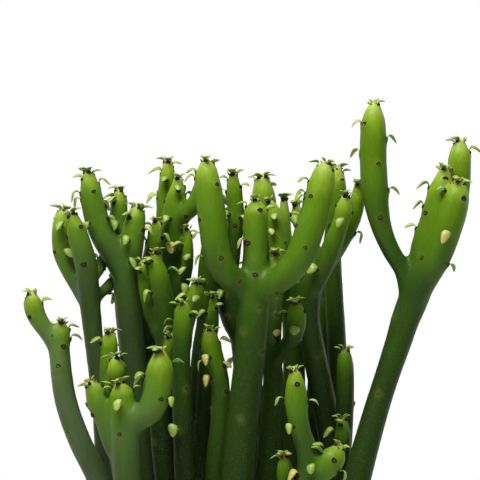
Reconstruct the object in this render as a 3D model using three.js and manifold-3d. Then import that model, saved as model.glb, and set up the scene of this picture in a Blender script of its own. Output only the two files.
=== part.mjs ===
// A potted Euphorbia alluaudii: a clump of leafless-looking, finger-thick green stems that fork near
// their tops into blunt shoots, each with a few tiny arched leaves, in potting mix in a plain round pot.
// Millimetres, +Z up. The origin is the middle of the pot's base, on the surface that it stands on.
// +X is to the right and -Y towards the viewer.

import * as THREE from "three";
import { mergeVertices } from "three/addons/utils/BufferGeometryUtils.js";
import Module from "manifold-3d";

const wasm = await Module();
wasm.setup();

const TURN = 2 * Math.PI;
const CLEARANCE = 0.3;

// The pot's outside, its wall and its rolled rim
const POT_HEIGHT = 150;
const POT_RIM_RADIUS = 87.5;
const POT_TOP_RADIUS = 83;
const POT_FOOT_RADIUS = 62;
const POT_WALL = 2.4;
const POT_FLOOR = 3;
const RIM_HEIGHT = 14;
const RIM_ROUND = 1.4;
const FOOT_HEIGHT = 3;
const FOOT_WIDTH = 8.5;
const FOOT_SLOPE = 1;
const PAD_RADIUS = 22;
const POT_SIDES = 32;
const DRAIN_COUNT = 6;
const DRAIN_RADIUS = 4.5;
const DRAIN_CIRCLE = 38;
const DRAIN_SIDES = 8;

// The potting mix
const SOIL_LEVEL = 139;
const SOIL_RELIEF = 1.1;
const SOIL_RINGS = 3;
const SOIL_MARGIN = 1;

// Stems have eight sides. A section's corners stand out a little, so that it has a round one's area.
const STEM_SIDES = 8;
const CORNER_REACH = Math.sqrt(TURN / (STEM_SIDES * Math.sin(TURN / STEM_SIDES)));
const BLUNT_TIP = 0.45;

// Leaves sit on a spiral round each shoot: a tuft at its tip, and then singly to where they have dropped.
// The ones of the tuft stand up, and the others lean out more the further they are from the tip.
const SPIRAL = THREE.MathUtils.degToRad(137.5);
const TUFT_LEAVES = 2;
const SIDE_LEAVES = 3;
const TUFT_DISTANCE = 3;
const SIDE_DISTANCE = 6;
const SIDE_STEP = 6.4;
const TUFT_LENGTH = 5;
const SIDE_LENGTH = 6.2;
const TUFT_LIFT = 70;
const SIDE_LIFT = 34;
const LIFT_LOSS = 2.6;
const LOWEST_LIFT = 4;
const LEAF_SUNK = 1.3;
const LEAF_GAP = 1.5;
const SMALLEST_EDGE = 0.004;

// Each stem is a leader and its side shoots. A point is [x, y, z, radius], from the root end to the tip.
const STEMS = {
  stem_front_middle: [
    [
      [-8, -27, 108, 8.2], [-8, -27, 147, 8.4], [-5, -28, 190, 8.2], [-1.5, -29, 240, 8.1],
      [1.5, -30, 272, 7.8], [5, -31, 305, 7.6], [6.5, -31, 324, 8], [7.5, -30, 340, 7.2],
      [7.5, -28, 355, 6.1], [7.5, -27, 367.5, 6.2], [8, -26.5, 375, 5.5], [8, -26.5, 380, 2.1],
    ],
    [
      [4, -31, 333, 5.6], [-2, -34, 339, 6.2], [-8, -37, 345.5, 6.6], [-11.5, -38, 354, 6.8],
      [-13, -38, 365, 7], [-14.5, -37, 377.5, 7.1], [-16, -36, 389, 6.1], [-16.5, -35.5, 395, 4.6],
      [-16.7, -35.3, 399, 2.1],
    ],
    [
      [10, -31, 333, 5.6], [15.5, -34, 337.5, 6.2], [22.3, -36, 343, 6.7], [29, -37, 351.5, 6.9],
      [34, -37, 364, 7.1], [37.5, -36, 376, 6.9], [40.2, -35, 387.5, 6.4], [41.6, -34.5, 393.5, 5],
      [42.7, -34, 397.5, 2.4],
    ],
    [[16, -30, 336, 3], [16.5, -28, 342.5, 3], [17.5, -27, 349, 2.6], [17.5, -27, 353.5, 1.2]],
  ],
  stem_far_right: [
    [
      [32, -15, 108, 7.2], [33.5, -15, 147, 7.4], [44.7, -13.5, 190, 7.2], [57.9, -12, 240, 6.9],
      [66.3, -8, 270, 6.2], [71, -5, 285, 6.1], [76, -3, 300, 6.2], [79.5, -1, 310, 6.4],
      [82.7, 0, 320, 6.9], [86.6, 0, 330, 7.5], [90, 0, 340, 7.5], [92.4, -2, 357.5, 6.8],
      [95.6, -3, 367.5, 6.5], [98.4, -3, 377.5, 6.4], [100.8, -3, 386, 6], [102.2, -3, 395.5, 2.2],
    ],
    [
      [85, -1, 334, 5.6], [81.3, -2, 345, 4.6], [75.9, -3, 354, 4.6], [71.6, -4, 363.5, 5],
      [68.8, -4, 374, 5.8], [67.3, -4, 385, 6.7], [66.7, -3, 397.5, 6.5], [66.7, -3, 412, 6.4],
      [66.8, -3, 419.5, 5.7], [66.8, -3, 424, 4.4], [66.8, -3, 427.8, 2.3],
    ],
    [
      [91, 3, 341, 6], [100, 8, 355, 6], [105, 9, 367.5, 6], [109, 9, 382.5, 5.8],
      [110.1, 9, 395, 5.8], [110.4, 9, 403, 5.2], [110.9, 9, 409.5, 2.2],
    ],
    [
      [86.5, -2, 329, 6.2], [91.7, -6, 340, 6.8], [98.3, -8, 352.5, 7.1], [103, -9, 365, 7.2],
      [106.5, -9, 376.5, 7.1], [108.2, -9, 384, 5.8], [108.5, -9, 389, 2.3],
    ],
  ],
  stem_far_left: [
    [
      [-40, -12, 108, 7], [-42, -12, 147, 7.1], [-55, -12, 190, 6.6], [-69.9, -12, 240, 5.9],
      [-79.7, -12, 260, 5.4], [-86.6, -12, 280, 5.2], [-89.4, -12, 300, 5.2], [-89.9, -12, 308, 5.3],
      [-89.2, -12, 315, 4.6], [-88.6, -12, 319.2, 2.2],
    ],
    [
      [-91.2, -12, 306, 4.2], [-95.2, -12, 313, 4.4], [-100, -12, 320, 4.7], [-102.8, -12, 326, 4.8],
      [-103.5, -12, 331, 4], [-103.7, -12, 333.4, 2],
    ],
  ],
  stem_left_outer: [
    [
      [-42, 3, 108, 6.3], [-43.5, 3, 147, 6.4], [-56, 4, 190, 6], [-66, 4, 240, 5.4],
      [-69.4, 4, 280, 4.9], [-72.4, 4, 303, 4.7], [-75.1, 3, 328, 5.4], [-77, -2, 347.5, 5.7],
      [-79.5, -5, 357.5, 5.4], [-82, -6, 366, 4.7], [-84, -6, 373.3, 2],
    ],
    [
      [-77.4, 6, 330, 4.5], [-81.6, 8, 337.5, 4.5], [-85.8, 10, 345, 4.4], [-89.2, 11, 354, 4.6],
      [-89.8, 11, 365, 4.5], [-88.8, 11, 372, 3.6], [-88, 11, 375, 1.8],
    ],
    [
      [-72.5, 5, 330.5, 3], [-69, 10, 334, 3.1], [-66, 15, 336.8, 3.1], [-63.3, 20, 339.5, 2.8],
      [-61.8, 23, 342.5, 1.6],
    ],
    [[-75, 4, 338.5, 3], [-71.5, 11, 344, 3], [-69, 17, 349.5, 2.7], [-68.6, 19.5, 355, 1.4]],
  ],
  stem_left_back: [
    [
      [-30, 18, 108, 7], [-31, 18, 147, 7.1], [-38.5, 16, 190, 7], [-47, 13, 240, 6.8],
      [-52, 11, 285, 6.6], [-55.9, 10, 325, 6.8], [-56.6, 10, 342.5, 6.7], [-54, 10, 360, 6],
      [-53, 10, 367.5, 5.6], [-52, 10, 373, 4.3], [-51.7, 10, 376.5, 2.1],
    ],
    [
      [-58, 9, 342, 5.8], [-62.5, 9, 351.5, 6.1], [-68.1, 9, 361, 6], [-71.7, 9, 370, 6],
      [-74, 8, 380, 5.5], [-75.4, 8, 387.5, 4.5], [-76.2, 8, 394.2, 1.9],
    ],
    [
      [-59, 15, 345, 4.6], [-61, 21, 357.5, 4.5], [-61.5, 24, 367.5, 4.4], [-61, 25, 379, 3.9],
      [-61, 25, 385, 1.8],
    ],
  ],
  stem_back_left: [
    [
      [-14, 32, 108, 6.8], [-14.5, 32, 147, 7], [-22, 33, 190, 6.6], [-29, 33, 240, 6.2],
      [-32, 32, 290, 6], [-34, 31, 335, 6], [-34.5, 30, 355, 6], [-34, 28, 367.5, 5.9],
      [-32.5, 27, 380, 5.1], [-31, 27, 391.2, 2.1],
    ],
    [
      [-35.5, 33, 352, 4.6], [-37.6, 38, 365, 4.8], [-37.3, 40, 382, 4.6], [-36.7, 40, 393.5, 3.4],
      [-36.7, 40, 399.7, 1.8],
    ],
    [
      [-33, 28, 366, 4.4], [-29.5, 25, 371.5, 4.4], [-25.5, 23, 375, 4.4], [-22, 21, 379, 4.6],
      [-20, 20, 384, 4.5], [-19, 20, 390, 3.6], [-19, 20, 394, 1.8],
    ],
    [[-31, 28, 328, 3.1], [-27.5, 24, 341, 3], [-26.2, 22, 355, 2.7], [-26.5, 22, 366, 1.4]],
  ],
  stem_back_slim_left: [
    [
      [-44, 32, 108, 5.4], [-44, 32, 147, 5.4], [-45, 30, 190, 5.2], [-46, 28, 240, 5],
      [-46.5, 26, 290, 4.7], [-47, 24, 330, 4.4], [-45.8, 22, 348, 4.1], [-43.3, 20, 358, 4],
      [-42.3, 20, 365, 3.1], [-42.1, 20, 369.3, 1.7],
    ],
  ],
  stem_back_inner: [
    [
      [-2, 13, 108, 5.8], [-3, 13.5, 147, 5.8], [-12, 19, 190, 5.6], [-20, 22, 240, 5.4],
      [-20, 22, 275, 5.5], [-19, 22, 302, 5.5], [-16.6, 20.5, 322, 5], [-16, 19, 345, 5],
      [-14, 17, 360, 4.8], [-13, 16, 375, 3.8], [-12.8, 16, 381, 1.8],
    ],
    [[-17, 19, 320, 3.4], [-19.5, 16, 327, 3.2], [-21.2, 14, 334, 3], [-21.5, 14, 339, 1.5]],
  ],
  stem_left_middle: [
    [
      [-24, 0, 108, 6.2], [-24.5, 0, 147, 6.3], [-30, -1, 190, 6], [-37, -2, 240, 5.6],
      [-39.8, -2, 280, 5.4], [-37.4, -2, 305, 5.3], [-36.8, -3, 320, 5.3], [-39, -3, 334, 5.2],
      [-41, -4, 344, 4.7], [-42.5, -4, 353.7, 2],
    ],
    [
      [-41, -2, 312, 3.4], [-45.5, -4, 322, 3.2], [-48, -5, 334, 3], [-48.8, -6, 343, 2.6],
      [-49, -6, 349, 1.4],
    ],
    [[-38, -3, 290, 4], [-36, -8, 298, 4.2], [-34.8, -10, 306, 3.9], [-34.6, -10, 311.7, 2]],
  ],
  stem_short_left: [
    [
      [-20, -14, 108, 6], [-21, -14, 147, 6.2], [-24, -16, 190, 5.8], [-27, -18, 240, 5.6],
      [-28.5, -19, 280, 5], [-29, -19, 302, 4.7], [-28.2, -19, 319, 5], [-28, -19, 325.5, 4.2],
      [-28, -19, 328.7, 2.2],
    ],
    [
      [-27.7, -14, 305, 4], [-27, -10, 317.5, 4.2], [-25, -9, 326, 4.4], [-22, -9, 333, 4.2],
      [-21.2, -9, 338.5, 2],
    ],
  ],
  stem_slim: [
    [
      [-15, 8.5, 108, 4.8], [-15.5, 8.5, 147, 4.8], [-18, 8, 190, 4.6], [-19.5, 7.5, 240, 4.4],
      [-18, 7, 280, 4.1], [-16.3, 6, 305, 3.9], [-14, 6, 319, 3.5], [-13, 6, 331.5, 1.6],
    ],
  ],
  stem_short_middle: [
    [
      [-6, -10.5, 108, 5.8], [-6.5, -10.5, 147, 5.9], [-9.5, -12.5, 190, 5.8], [-12, -14, 240, 5.7],
      [-9.5, -15, 272, 5.2], [-10.5, -15, 292.5, 4.7], [-14.3, -15, 306, 4.8], [-15, -15, 312, 3.8],
      [-15, -15, 315.5, 2],
    ],
  ],
  stem_back_middle: [
    [
      [4, 26, 108, 6.4], [4, 26, 147, 6.6], [4, 27, 190, 6.2], [3.5, 28, 240, 5.9],
      [3, 28, 280, 5.7], [3, 28, 303, 5.6], [1.8, 28, 316, 5.6], [-3, 28, 327, 5.6],
      [-6.5, 28, 340, 5.3], [-4.5, 29, 355, 4.9], [-2.2, 30, 372.5, 4.3], [-3.1, 30, 386, 3.8],
      [-3.7, 30, 393.5, 1.7],
    ],
    [
      [1, 29, 322, 5], [6.5, 32.5, 340, 5.2], [10.8, 35.5, 358, 5.8], [12.2, 36, 372.5, 6.5],
      [11.8, 36, 384, 5.7], [11, 36, 392, 2.6],
    ],
  ],
  stem_back_slim_right: [
    [
      [22, 20, 108, 5.6], [23, 20, 147, 5.6], [25.5, 20, 190, 5.4], [26.5, 20, 240, 5.5],
      [27.3, 21, 290, 5.5], [25.5, 23, 330, 4.6], [23.6, 25, 352, 3.8], [22.5, 26, 367.5, 3.3],
      [22.3, 26, 375.7, 2.7], [22.2, 26, 381, 1.5],
    ],
  ],
  stem_right_inner: [
    [
      [10, -9, 108, 6], [10, -9, 147, 6.1], [11.5, -9, 190, 5.8], [13, -9, 240, 5.6],
      [16.5, -6, 280, 5], [16.5, -3, 302, 4.8], [17, 0, 315, 3.8], [18.2, 4, 327.5, 3.6],
      [19.5, 9, 340, 3.8], [19.5, 13, 352.5, 4.4], [18.5, 15, 364, 4.7], [16.4, 16, 374.5, 3.9],
      [15, 16, 379.5, 1.9],
    ],
    [
      [17, -4, 299, 4], [21, -8, 305, 4], [25.5, -11, 310, 4.2], [28, -12, 318, 4.7],
      [27.8, -12, 325.5, 3.8], [27.5, -12, 329, 1.9],
    ],
  ],
  stem_right_middle: [
    [
      [22, 5, 108, 6.2], [23, 6, 147, 6.3], [35.5, 11, 190, 6.2], [47, 16, 240, 6.2],
      [44, 14, 270, 6.1], [38, 10, 300, 6], [34, 7, 322, 6.1], [36, 6, 339, 6.2],
      [41.5, 7, 347, 5.3], [47.5, 8, 355, 4.9], [53, 9, 364, 4.6], [57, 10, 373, 4.3],
      [59, 10, 381, 3.5], [59.4, 10, 388, 1.6],
    ],
    [
      [36, 4, 335, 5], [42, 0, 347, 5], [46.2, -1, 357.5, 4.9], [50, -2, 367.5, 4.3],
      [52.2, -2, 377, 3.9], [52.5, -2, 382.3, 1.7],
    ],
  ],
  stem_right_back: [
    [
      [36, 30, 108, 6], [37, 30, 147, 6.1], [45, 30, 190, 5.8], [51, 31, 240, 5.6],
      [50.5, 31, 270, 5.2], [48.8, 30, 307.5, 4.9], [46.7, 28, 345, 4.6], [46.6, 24, 360, 4.4],
      [48.7, 20, 375, 4.5], [49.2, 19, 388, 4.1], [48.8, 19, 396, 1.9],
    ],
  ],
  stem_back_right: [
    [
      [21, 38, 108, 6], [22, 38, 147, 6.1], [30, 39, 190, 5.9], [37, 40, 240, 5.6],
      [39, 40, 280, 5.2], [41.7, 39, 325, 4.9], [41, 39, 342.5, 4.6], [37, 39, 355, 4.3],
      [32, 39, 365, 3.9], [29, 40, 372.5, 3.2], [28.5, 40, 378, 1.6],
    ],
  ],
  stem_short_right: [
    [
      [35.5, -1, 108, 5.1], [36.5, -1, 147, 5.2], [44, 1.5, 190, 4.8], [50, 4, 240, 4.5],
      [52.3, 4, 272, 4.5], [52.7, 4, 296, 4.5], [52.5, 4, 302, 3.6], [52.4, 4, 304.8, 2],
    ],
    [[51, 2, 244, 3.8], [51.5, -2, 254, 4.1], [51.3, -4, 264, 3.8], [51, -4, 270.6, 1.8]],
  ],
  stem_front_right: [
    [
      [12, -41, 108, 6.6], [12.5, -41, 147, 6.8], [24, -43, 190, 6.6], [34, -46, 240, 6.4],
      [34.5, -46, 248, 6.3], [33, -46, 257, 5.4], [30, -46, 266, 5], [28, -46, 276, 5.5],
      [27.5, -46, 285, 5.6], [27, -46, 291.5, 4.2], [26.5, -46, 296, 2.1],
    ],
    [
      [35, -46, 242, 5.6], [40, -47, 247, 6.2], [43.5, -48, 250.5, 6.6], [47, -48, 254.8, 5.7],
      [49.2, -48, 258.3, 2.2],
    ],
  ],
  stem_young_right: [
    [
      [21, -24, 108, 4.6], [21.5, -24, 147, 4.6], [22.5, -27, 190, 4.3], [22.5, -30, 235, 4],
      [22.2, -30, 248, 3.7], [21.8, -30, 253.5, 1.7],
    ],
  ],
  stem_front_left: [
    [
      [-27, -38, 108, 7], [-28, -38, 147, 7.2], [-42, -41, 190, 7.1], [-55, -44, 240, 7],
      [-56, -45, 262.5, 7], [-57.2, -45, 272, 7.1], [-57.7, -45, 281, 6.4], [-58.5, -45, 286.5, 4.9],
      [-59.5, -45, 289.5, 2.4],
    ],
    [
      [-55, -46, 269, 5.6], [-49.5, -48, 272, 5.8], [-44.5, -49, 276, 6.3], [-41.3, -49, 283, 6.9],
      [-39.8, -49, 292, 6.9], [-39.2, -49, 299, 6], [-39, -49, 305.5, 2.4],
    ],
    [
      [-57, -43, 249, 4], [-62, -42, 255, 3.5], [-65, -41, 262, 3.5], [-67, -40, 271.5, 4.4],
      [-69.8, -40, 280.5, 5.6], [-71.7, -40, 286.3, 4.4], [-73.3, -40, 290, 2.2],
    ],
  ],
  stem_young_left: [
    [
      [-37.5, -26, 108, 5], [-38.5, -26, 147, 5.1], [-48, -27, 190, 5], [-58, -27, 240, 4.6],
      [-65, -27, 275, 4.2], [-65.7, -27, 290, 4.1], [-64.8, -27, 305, 4.5], [-64.7, -27, 311, 3.8],
      [-64.7, -27, 314.5, 2],
    ],
    [[-64.5, -29, 280, 3.6], [-62, -33, 288.5, 4.2], [-61, -35, 296.5, 4.8], [-61.2, -35, 302.2, 2.2]],
  ],
  stem_rear_left: [
    [
      [-30, 48, 108, 5.6], [-31, 48, 147, 5.7], [-38, 49, 190, 5.4], [-46, 49, 230, 5.2],
      [-52, 48, 270, 4.9], [-54.5, 47, 296, 4.8], [-55, 47, 305, 4], [-55, 47, 311, 1.9],
    ],
    [[-45, 49, 236, 4], [-41, 55, 250, 4.4], [-38.5, 58, 266, 4.8], [-38, 59, 279, 4.2], [-38, 59, 286, 2]],
  ],
  stem_rear_middle: [
    [
      [3, 46, 108, 6], [3, 46, 147, 6], [5, 50, 190, 5.6], [6, 53, 240, 5.2],
      [7, 55, 330, 4.8], [7.5, 55, 345, 4.2], [7.5, 55, 352, 2],
    ],
    [[6.5, 53, 258, 4], [13, 58, 272, 4.4], [17, 60, 284, 4.7], [17.5, 60, 295, 4.1], [17.5, 60, 302, 2]],
    [[6, 53, 272, 3.8], [1.5, 58, 284, 4.1], [0.8, 60, 296, 4.3], [0.8, 60, 310, 1.9]],
  ],
  stem_rear_right: [
    [
      [36, 46, 108, 5.2], [37, 46, 147, 5.3], [43, 50, 190, 5.1], [47, 53, 240, 4.9],
      [48, 54, 280, 4.6], [48, 54, 298, 4.4], [48.3, 54.2, 305.6, 2.2],
    ],
  ],
};

// The leaves of the shoots that stand clear of the others: [distance below the tip, heading in degrees].
// Heading 0 is to the right, 90 to the back, 180 to the left and 270 to the viewer.
const PLACED_LEAVES = {
  stem_front_middle: [
    [[5, 180], [6, 5]],
    [[4, 350], [9, 190]],
    [[3, 170], [9, 182], [5, 20]],
    [[3, 200]],
  ],
  stem_far_right: [
    [[2, 120], [11, 176], [21, 190], [35, 182]],
    [[10, 184], [17.5, 4], [24.5, 178], [44, 2]],
    [[2, 178], [5.5, 0], [20, 80]],
    [[3, 150], [6, 200], [27, 268], [40, 340]],
  ],
  stem_left_back: [
    [[4, 350], [5, 190], [11, 8], [17, 245]],
    [[6, 5], [8, 185], [13, 0], [17, 186], [28, 245]],
    [[4, 10], [6, 185], [12, 200]],
  ],
  stem_far_left: [
    [[3, 165], [3.5, 15], [8, 355]],
    [[6, 8]],
  ],
};

const potMaterial = new THREE.MeshStandardMaterial({ color: 0x8a4a32, roughness: 0.75, metalness: 0 });
const soilMaterial = new THREE.MeshStandardMaterial({ color: 0x2b1f17, roughness: 0.95, metalness: 0 });
const stemMaterial = new THREE.MeshStandardMaterial({ color: 0x4c7a22, roughness: 0.45, metalness: 0 });

// A closed three.js geometry as a solid: vertices merged by place, collapsed faces dropped.
function solidOf(geometry) {
  const bare = new THREE.BufferGeometry();
  bare.setAttribute("position", geometry.getAttribute("position").clone());
  bare.setIndex(geometry.index);
  const merged = mergeVertices(bare, 1e-3);
  const faces = [];
  for (let i = 0; i < merged.index.count; i += 3) {
    const [a, b, c] = [0, 1, 2].map((corner) => merged.index.getX(i + corner));
    if (a !== b && b !== c && c !== a) faces.push(a, b, c);
  }
  return new wasm.Manifold(
    new wasm.Mesh({
      numProp: 3,
      vertProperties: new Float32Array(merged.attributes.position.array),
      triVerts: new Uint32Array(faces),
    }),
  );
}

function meshOf(name, solid, material) {
  const made = solid.getMesh();
  const geometry = new THREE.BufferGeometry();
  geometry.setAttribute("position", new THREE.BufferAttribute(made.vertProperties, made.numProp));
  geometry.setIndex(new THREE.BufferAttribute(made.triVerts, 1));
  geometry.computeVertexNormals();
  const mesh = new THREE.Mesh(geometry, material);
  mesh.name = name;
  return mesh;
}

// Stations along a stem or shoot: centre, direction, two vectors across it, and radius.
// "side" leans to +X and "back" to +Y on an upright stem, so an angle about it reads as on a compass.
function stationsOf(points) {
  const curve = new THREE.CatmullRomCurve3(points.map(([x, y, z]) => new THREE.Vector3(x, y, z)));
  return points.map(([, , , radius], i) => {
    const share = i / (points.length - 1);
    const along = curve.getTangent(share);
    const side = new THREE.Vector3(1, 0, 0).addScaledVector(along, -along.x).normalize();
    return { centre: curve.getPoint(share), along, side, back: along.clone().cross(side), radius };
  });
}

// A cylinder whose rings of vertices are moved to the stations, with a low dome on the last one.
function roundStem(points, extraRadius = 0) {
  const stations = stationsOf(points);
  const rings = stations.length - 1;
  const skin = new THREE.CylinderGeometry(1, 1, 1, STEM_SIDES, rings);
  const place = skin.getAttribute("position");
  const vertex = new THREE.Vector3();
  for (let i = 0; i < place.count; i++) {
    vertex.fromBufferAttribute(place, i);
    const ring = Math.round((vertex.y + 0.5) * rings);
    const { centre, along, side, back, radius } = stations[ring];
    const reach = (radius + extraRadius) * CORNER_REACH;
    const isPole = Math.hypot(vertex.x, vertex.z) < 0.5;
    const dome = isPole && ring === rings ? radius * BLUNT_TIP : 0;
    const corner = centre.clone().addScaledVector(along, dome);
    corner.addScaledVector(side, vertex.x * reach).addScaledVector(back, -vertex.z * reach);
    place.setXYZ(i, ...corner);
  }
  return skin;
}

// The station at a distance back from the tip
function stationBelowTip(stations, distance) {
  let gone = 0;
  for (let i = stations.length - 1; i > 0; i--) {
    const [upper, lower] = [stations[i], stations[i - 1]];
    const span = upper.centre.distanceTo(lower.centre);
    if (gone + span >= distance) {
      const share = (distance - gone) / span;
      const mix = (key) => upper[key].clone().lerp(lower[key], share);
      return {
        centre: mix("centre"),
        along: mix("along").normalize(),
        side: mix("side").normalize(),
        back: mix("back").normalize(),
        radius: THREE.MathUtils.lerp(upper.radius, lower.radius, share),
      };
    }
    gone += span;
  }
  return null;
}

// The seats of a shoot's leaves, from its tip down. Each has its own place, length and lift above level.
function leafSeats(points, turn, placed) {
  const stations = stationsOf(points);
  const tuft = Array.from({ length: TUFT_LEAVES }, (_, k) => [TUFT_DISTANCE, turn + SPIRAL * k]);
  const spiral = Array.from({ length: SIDE_LEAVES }, (_, k) => [
    SIDE_DISTANCE + SIDE_STEP * k,
    turn + SPIRAL * (k + TUFT_LEAVES),
  ]);
  const byHand = placed?.map(([distance, heading]) => [distance, THREE.MathUtils.degToRad(heading)]);
  return [...tuft, ...(byHand ?? spiral)].flatMap(([distance, angle], k) => {
    const station = stationBelowTip(stations, distance);
    if (!station) return [];
    const isTuft = k < TUFT_LEAVES;
    const out = station.side.clone().multiplyScalar(Math.cos(angle));
    out.addScaledVector(station.back, Math.sin(angle));
    const sideLift = Math.max(SIDE_LIFT - LIFT_LOSS * distance, LOWEST_LIFT);
    const lift = THREE.MathUtils.degToRad(isTuft ? TUFT_LIFT : sideLift);
    return [{ ...station, out, lift, length: isTuft ? TUFT_LENGTH : SIDE_LENGTH }];
  });
}

// A leaf's middle line as shares of its length, outwards and upwards, with its half width and its height.
// The first mark is sunk in the stem, the second is the widest and the last is the drooping point.
const LEAF_LINE = [
  { out: 0, up: -0.04, half: 0.1, high: 0.13 },
  { out: 0.5, up: 0.23, half: 0.28, high: 0.27 },
  { out: 0.88, up: -0.2, half: 0, high: 0 },
];

function leafPoints({ centre, along, out, radius, lift, length }) {
  const outward = out.clone().multiplyScalar(Math.cos(lift)).addScaledVector(along, Math.sin(lift));
  const upward = along.clone().multiplyScalar(Math.cos(lift)).addScaledVector(out, -Math.sin(lift));
  const root = centre.clone().addScaledVector(out, radius - LEAF_SUNK);
  return LEAF_LINE.map((mark, i) =>
    root
      .clone()
      .addScaledVector(outward, mark.out * length + (i > 0 ? LEAF_SUNK : 0))
      .addScaledVector(upward, mark.up * length),
  );
}

// A keeled, arched blade: three corners at the root, three at the widest section, then a point
function leafBlade(seat) {
  const [root, widest, point] = leafPoints(seat);
  const acrossLeaf = seat.along.clone().cross(seat.out).normalize();
  const section = (middle, from, to, mark) => {
    const upwards = acrossLeaf.clone().cross(to.clone().sub(from)).normalize();
    if (upwards.dot(seat.along) < 0) upwards.negate();
    const [half, high] = [mark.half * seat.length, mark.high * seat.length];
    return [
      middle.clone().addScaledVector(acrossLeaf, half).addScaledVector(upwards, -high / 3),
      middle.clone().addScaledVector(upwards, (2 * high) / 3),
      middle.clone().addScaledVector(acrossLeaf, -half).addScaledVector(upwards, -high / 3),
    ];
  };
  const corners = [
    ...section(root, root, widest, LEAF_LINE[0]),
    ...section(widest, root, point, LEAF_LINE[1]),
    point,
  ];
  const faces = [0, 2, 1];
  for (let i = 0; i < 3; i++) {
    const next = (i + 1) % 3;
    faces.push(i, 3 + next, 3 + i, i, next, 3 + next, 3 + i, 3 + next, 6);
  }
  const blade = new THREE.BufferGeometry();
  const places = new Float32Array(corners.flatMap((corner) => [...corner]));
  blade.setAttribute("position", new THREE.BufferAttribute(places, 3));
  blade.setIndex(faces);
  return solidOf(blade);
}

// Balls along every stem, close together, to tell where a leaf would meet a neighbour
const BALL_STEP = 2;

function ballsOf(points) {
  const stations = stationsOf(points);
  return stations.slice(1).flatMap((upper, i) => {
    const lower = stations[i];
    const count = Math.ceil(upper.centre.distanceTo(lower.centre) / BALL_STEP);
    return Array.from({ length: count }, (_, k) => ({
      centre: lower.centre.clone().lerp(upper.centre, (k + 1) / count),
      radius: THREE.MathUtils.lerp(lower.radius, upper.radius, (k + 1) / count),
    }));
  });
}

const balls = Object.entries(STEMS).flatMap(([stem, shoots]) =>
  shoots.flatMap((points, shoot) => ballsOf(points).map((ball) => ({ ...ball, stem, shoot }))),
);
const takenByLeaves = [];

// A leaf keeps clear of every other shoot, and of the leaves of other stems
function isClear(stem, shoot, points) {
  const [root, widest, point] = points;
  const probes = [widest, point, widest.clone().lerp(point, 0.5), root.clone().lerp(widest, 0.7)];
  return probes.every(
    (probe) =>
      balls.every(
        (ball) =>
          (ball.stem === stem && ball.shoot === shoot) ||
          ball.centre.distanceTo(probe) > ball.radius * CORNER_REACH + LEAF_GAP,
      ) && takenByLeaves.every((other) => other.stem === stem || other.at.distanceTo(probe) > 2 * LEAF_GAP),
  );
}

// A stem with its leaves, less the hair-thin faces that are left where a blade's root crosses an edge
function leafyStem(stem, shoots) {
  let solid = shoots.map((points) => solidOf(roundStem(points))).reduce((all, next) => all.add(next));
  shoots.forEach((points, shoot) => {
    // Each shoot's spiral starts at its own heading
    const [tipX, tipY, tipZ] = points.at(-1);
    const turn = (tipX + 2 * tipY + 3 * tipZ) % TURN;
    for (const seat of leafSeats(points, turn, PLACED_LEAVES[stem]?.[shoot])) {
      const marks = leafPoints(seat);
      if (!isClear(stem, shoot, marks)) continue;
      solid = solid.add(leafBlade(seat));
      takenByLeaves.push(...marks.slice(1).map((at) => ({ stem, at })));
    }
  });
  return solid.simplify(SMALLEST_EDGE);
}

// The pot's wall leans out evenly from its foot to the underside of its rim
const rimFoot = POT_HEIGHT - RIM_HEIGHT;
const innerFloor = FOOT_HEIGHT + POT_FLOOR;
const outerRadiusAt = (z) => THREE.MathUtils.lerp(POT_FOOT_RADIUS, POT_TOP_RADIUS, z / rimFoot);
const innerRadiusAt = (z) => outerRadiusAt(z) - POT_WALL;

function potSolid() {
  const outline = [
    [0, 0],
    [PAD_RADIUS, 0],
    [PAD_RADIUS + FOOT_SLOPE, FOOT_HEIGHT],
    [POT_FOOT_RADIUS - FOOT_WIDTH - FOOT_SLOPE, FOOT_HEIGHT],
    [POT_FOOT_RADIUS - FOOT_WIDTH, 0],
    [POT_FOOT_RADIUS - RIM_ROUND, 0],
    [outerRadiusAt(RIM_ROUND), RIM_ROUND],
    [outerRadiusAt(rimFoot), rimFoot],
    [POT_RIM_RADIUS - RIM_ROUND, rimFoot],
    [POT_RIM_RADIUS, rimFoot + RIM_ROUND],
    [POT_RIM_RADIUS, POT_HEIGHT - RIM_ROUND],
    [POT_RIM_RADIUS - RIM_ROUND, POT_HEIGHT],
    [innerRadiusAt(POT_HEIGHT) + RIM_ROUND, POT_HEIGHT],
    [innerRadiusAt(POT_HEIGHT - RIM_ROUND), POT_HEIGHT - RIM_ROUND],
    [innerRadiusAt(innerFloor + RIM_ROUND), innerFloor + RIM_ROUND],
    [innerRadiusAt(innerFloor) - RIM_ROUND, innerFloor],
    [0, innerFloor],
  ].map(([r, z]) => new THREE.Vector2(r, z));
  const wall = solidOf(new THREE.LatheGeometry(outline, POT_SIDES).rotateX(Math.PI / 2));
  return Array.from({ length: DRAIN_COUNT }, (_, i) => {
    const angle = (TURN * (i + 0.5)) / DRAIN_COUNT;
    const drain = new THREE.CylinderGeometry(DRAIN_RADIUS, DRAIN_RADIUS, 4 * innerFloor, DRAIN_SIDES);
    drain.rotateX(Math.PI / 2);
    drain.translate(DRAIN_CIRCLE * Math.cos(angle), DRAIN_CIRCLE * Math.sin(angle), 0);
    return solidOf(drain);
  }).reduce((pot, drain) => pot.subtract(drain), wall);
}

// Crumbs and hollows of the mix's surface, from a few crossed waves
function soilRelief(x, y) {
  const humps = Math.sin(x / 6.1 + 1.2) * Math.cos(y / 5.3);
  const ridges = 0.6 * Math.sin((x + y) / 9.7) + 0.5 * Math.cos((x - y) / 7.9);
  return SOIL_RELIEF * (humps + ridges);
}

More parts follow.
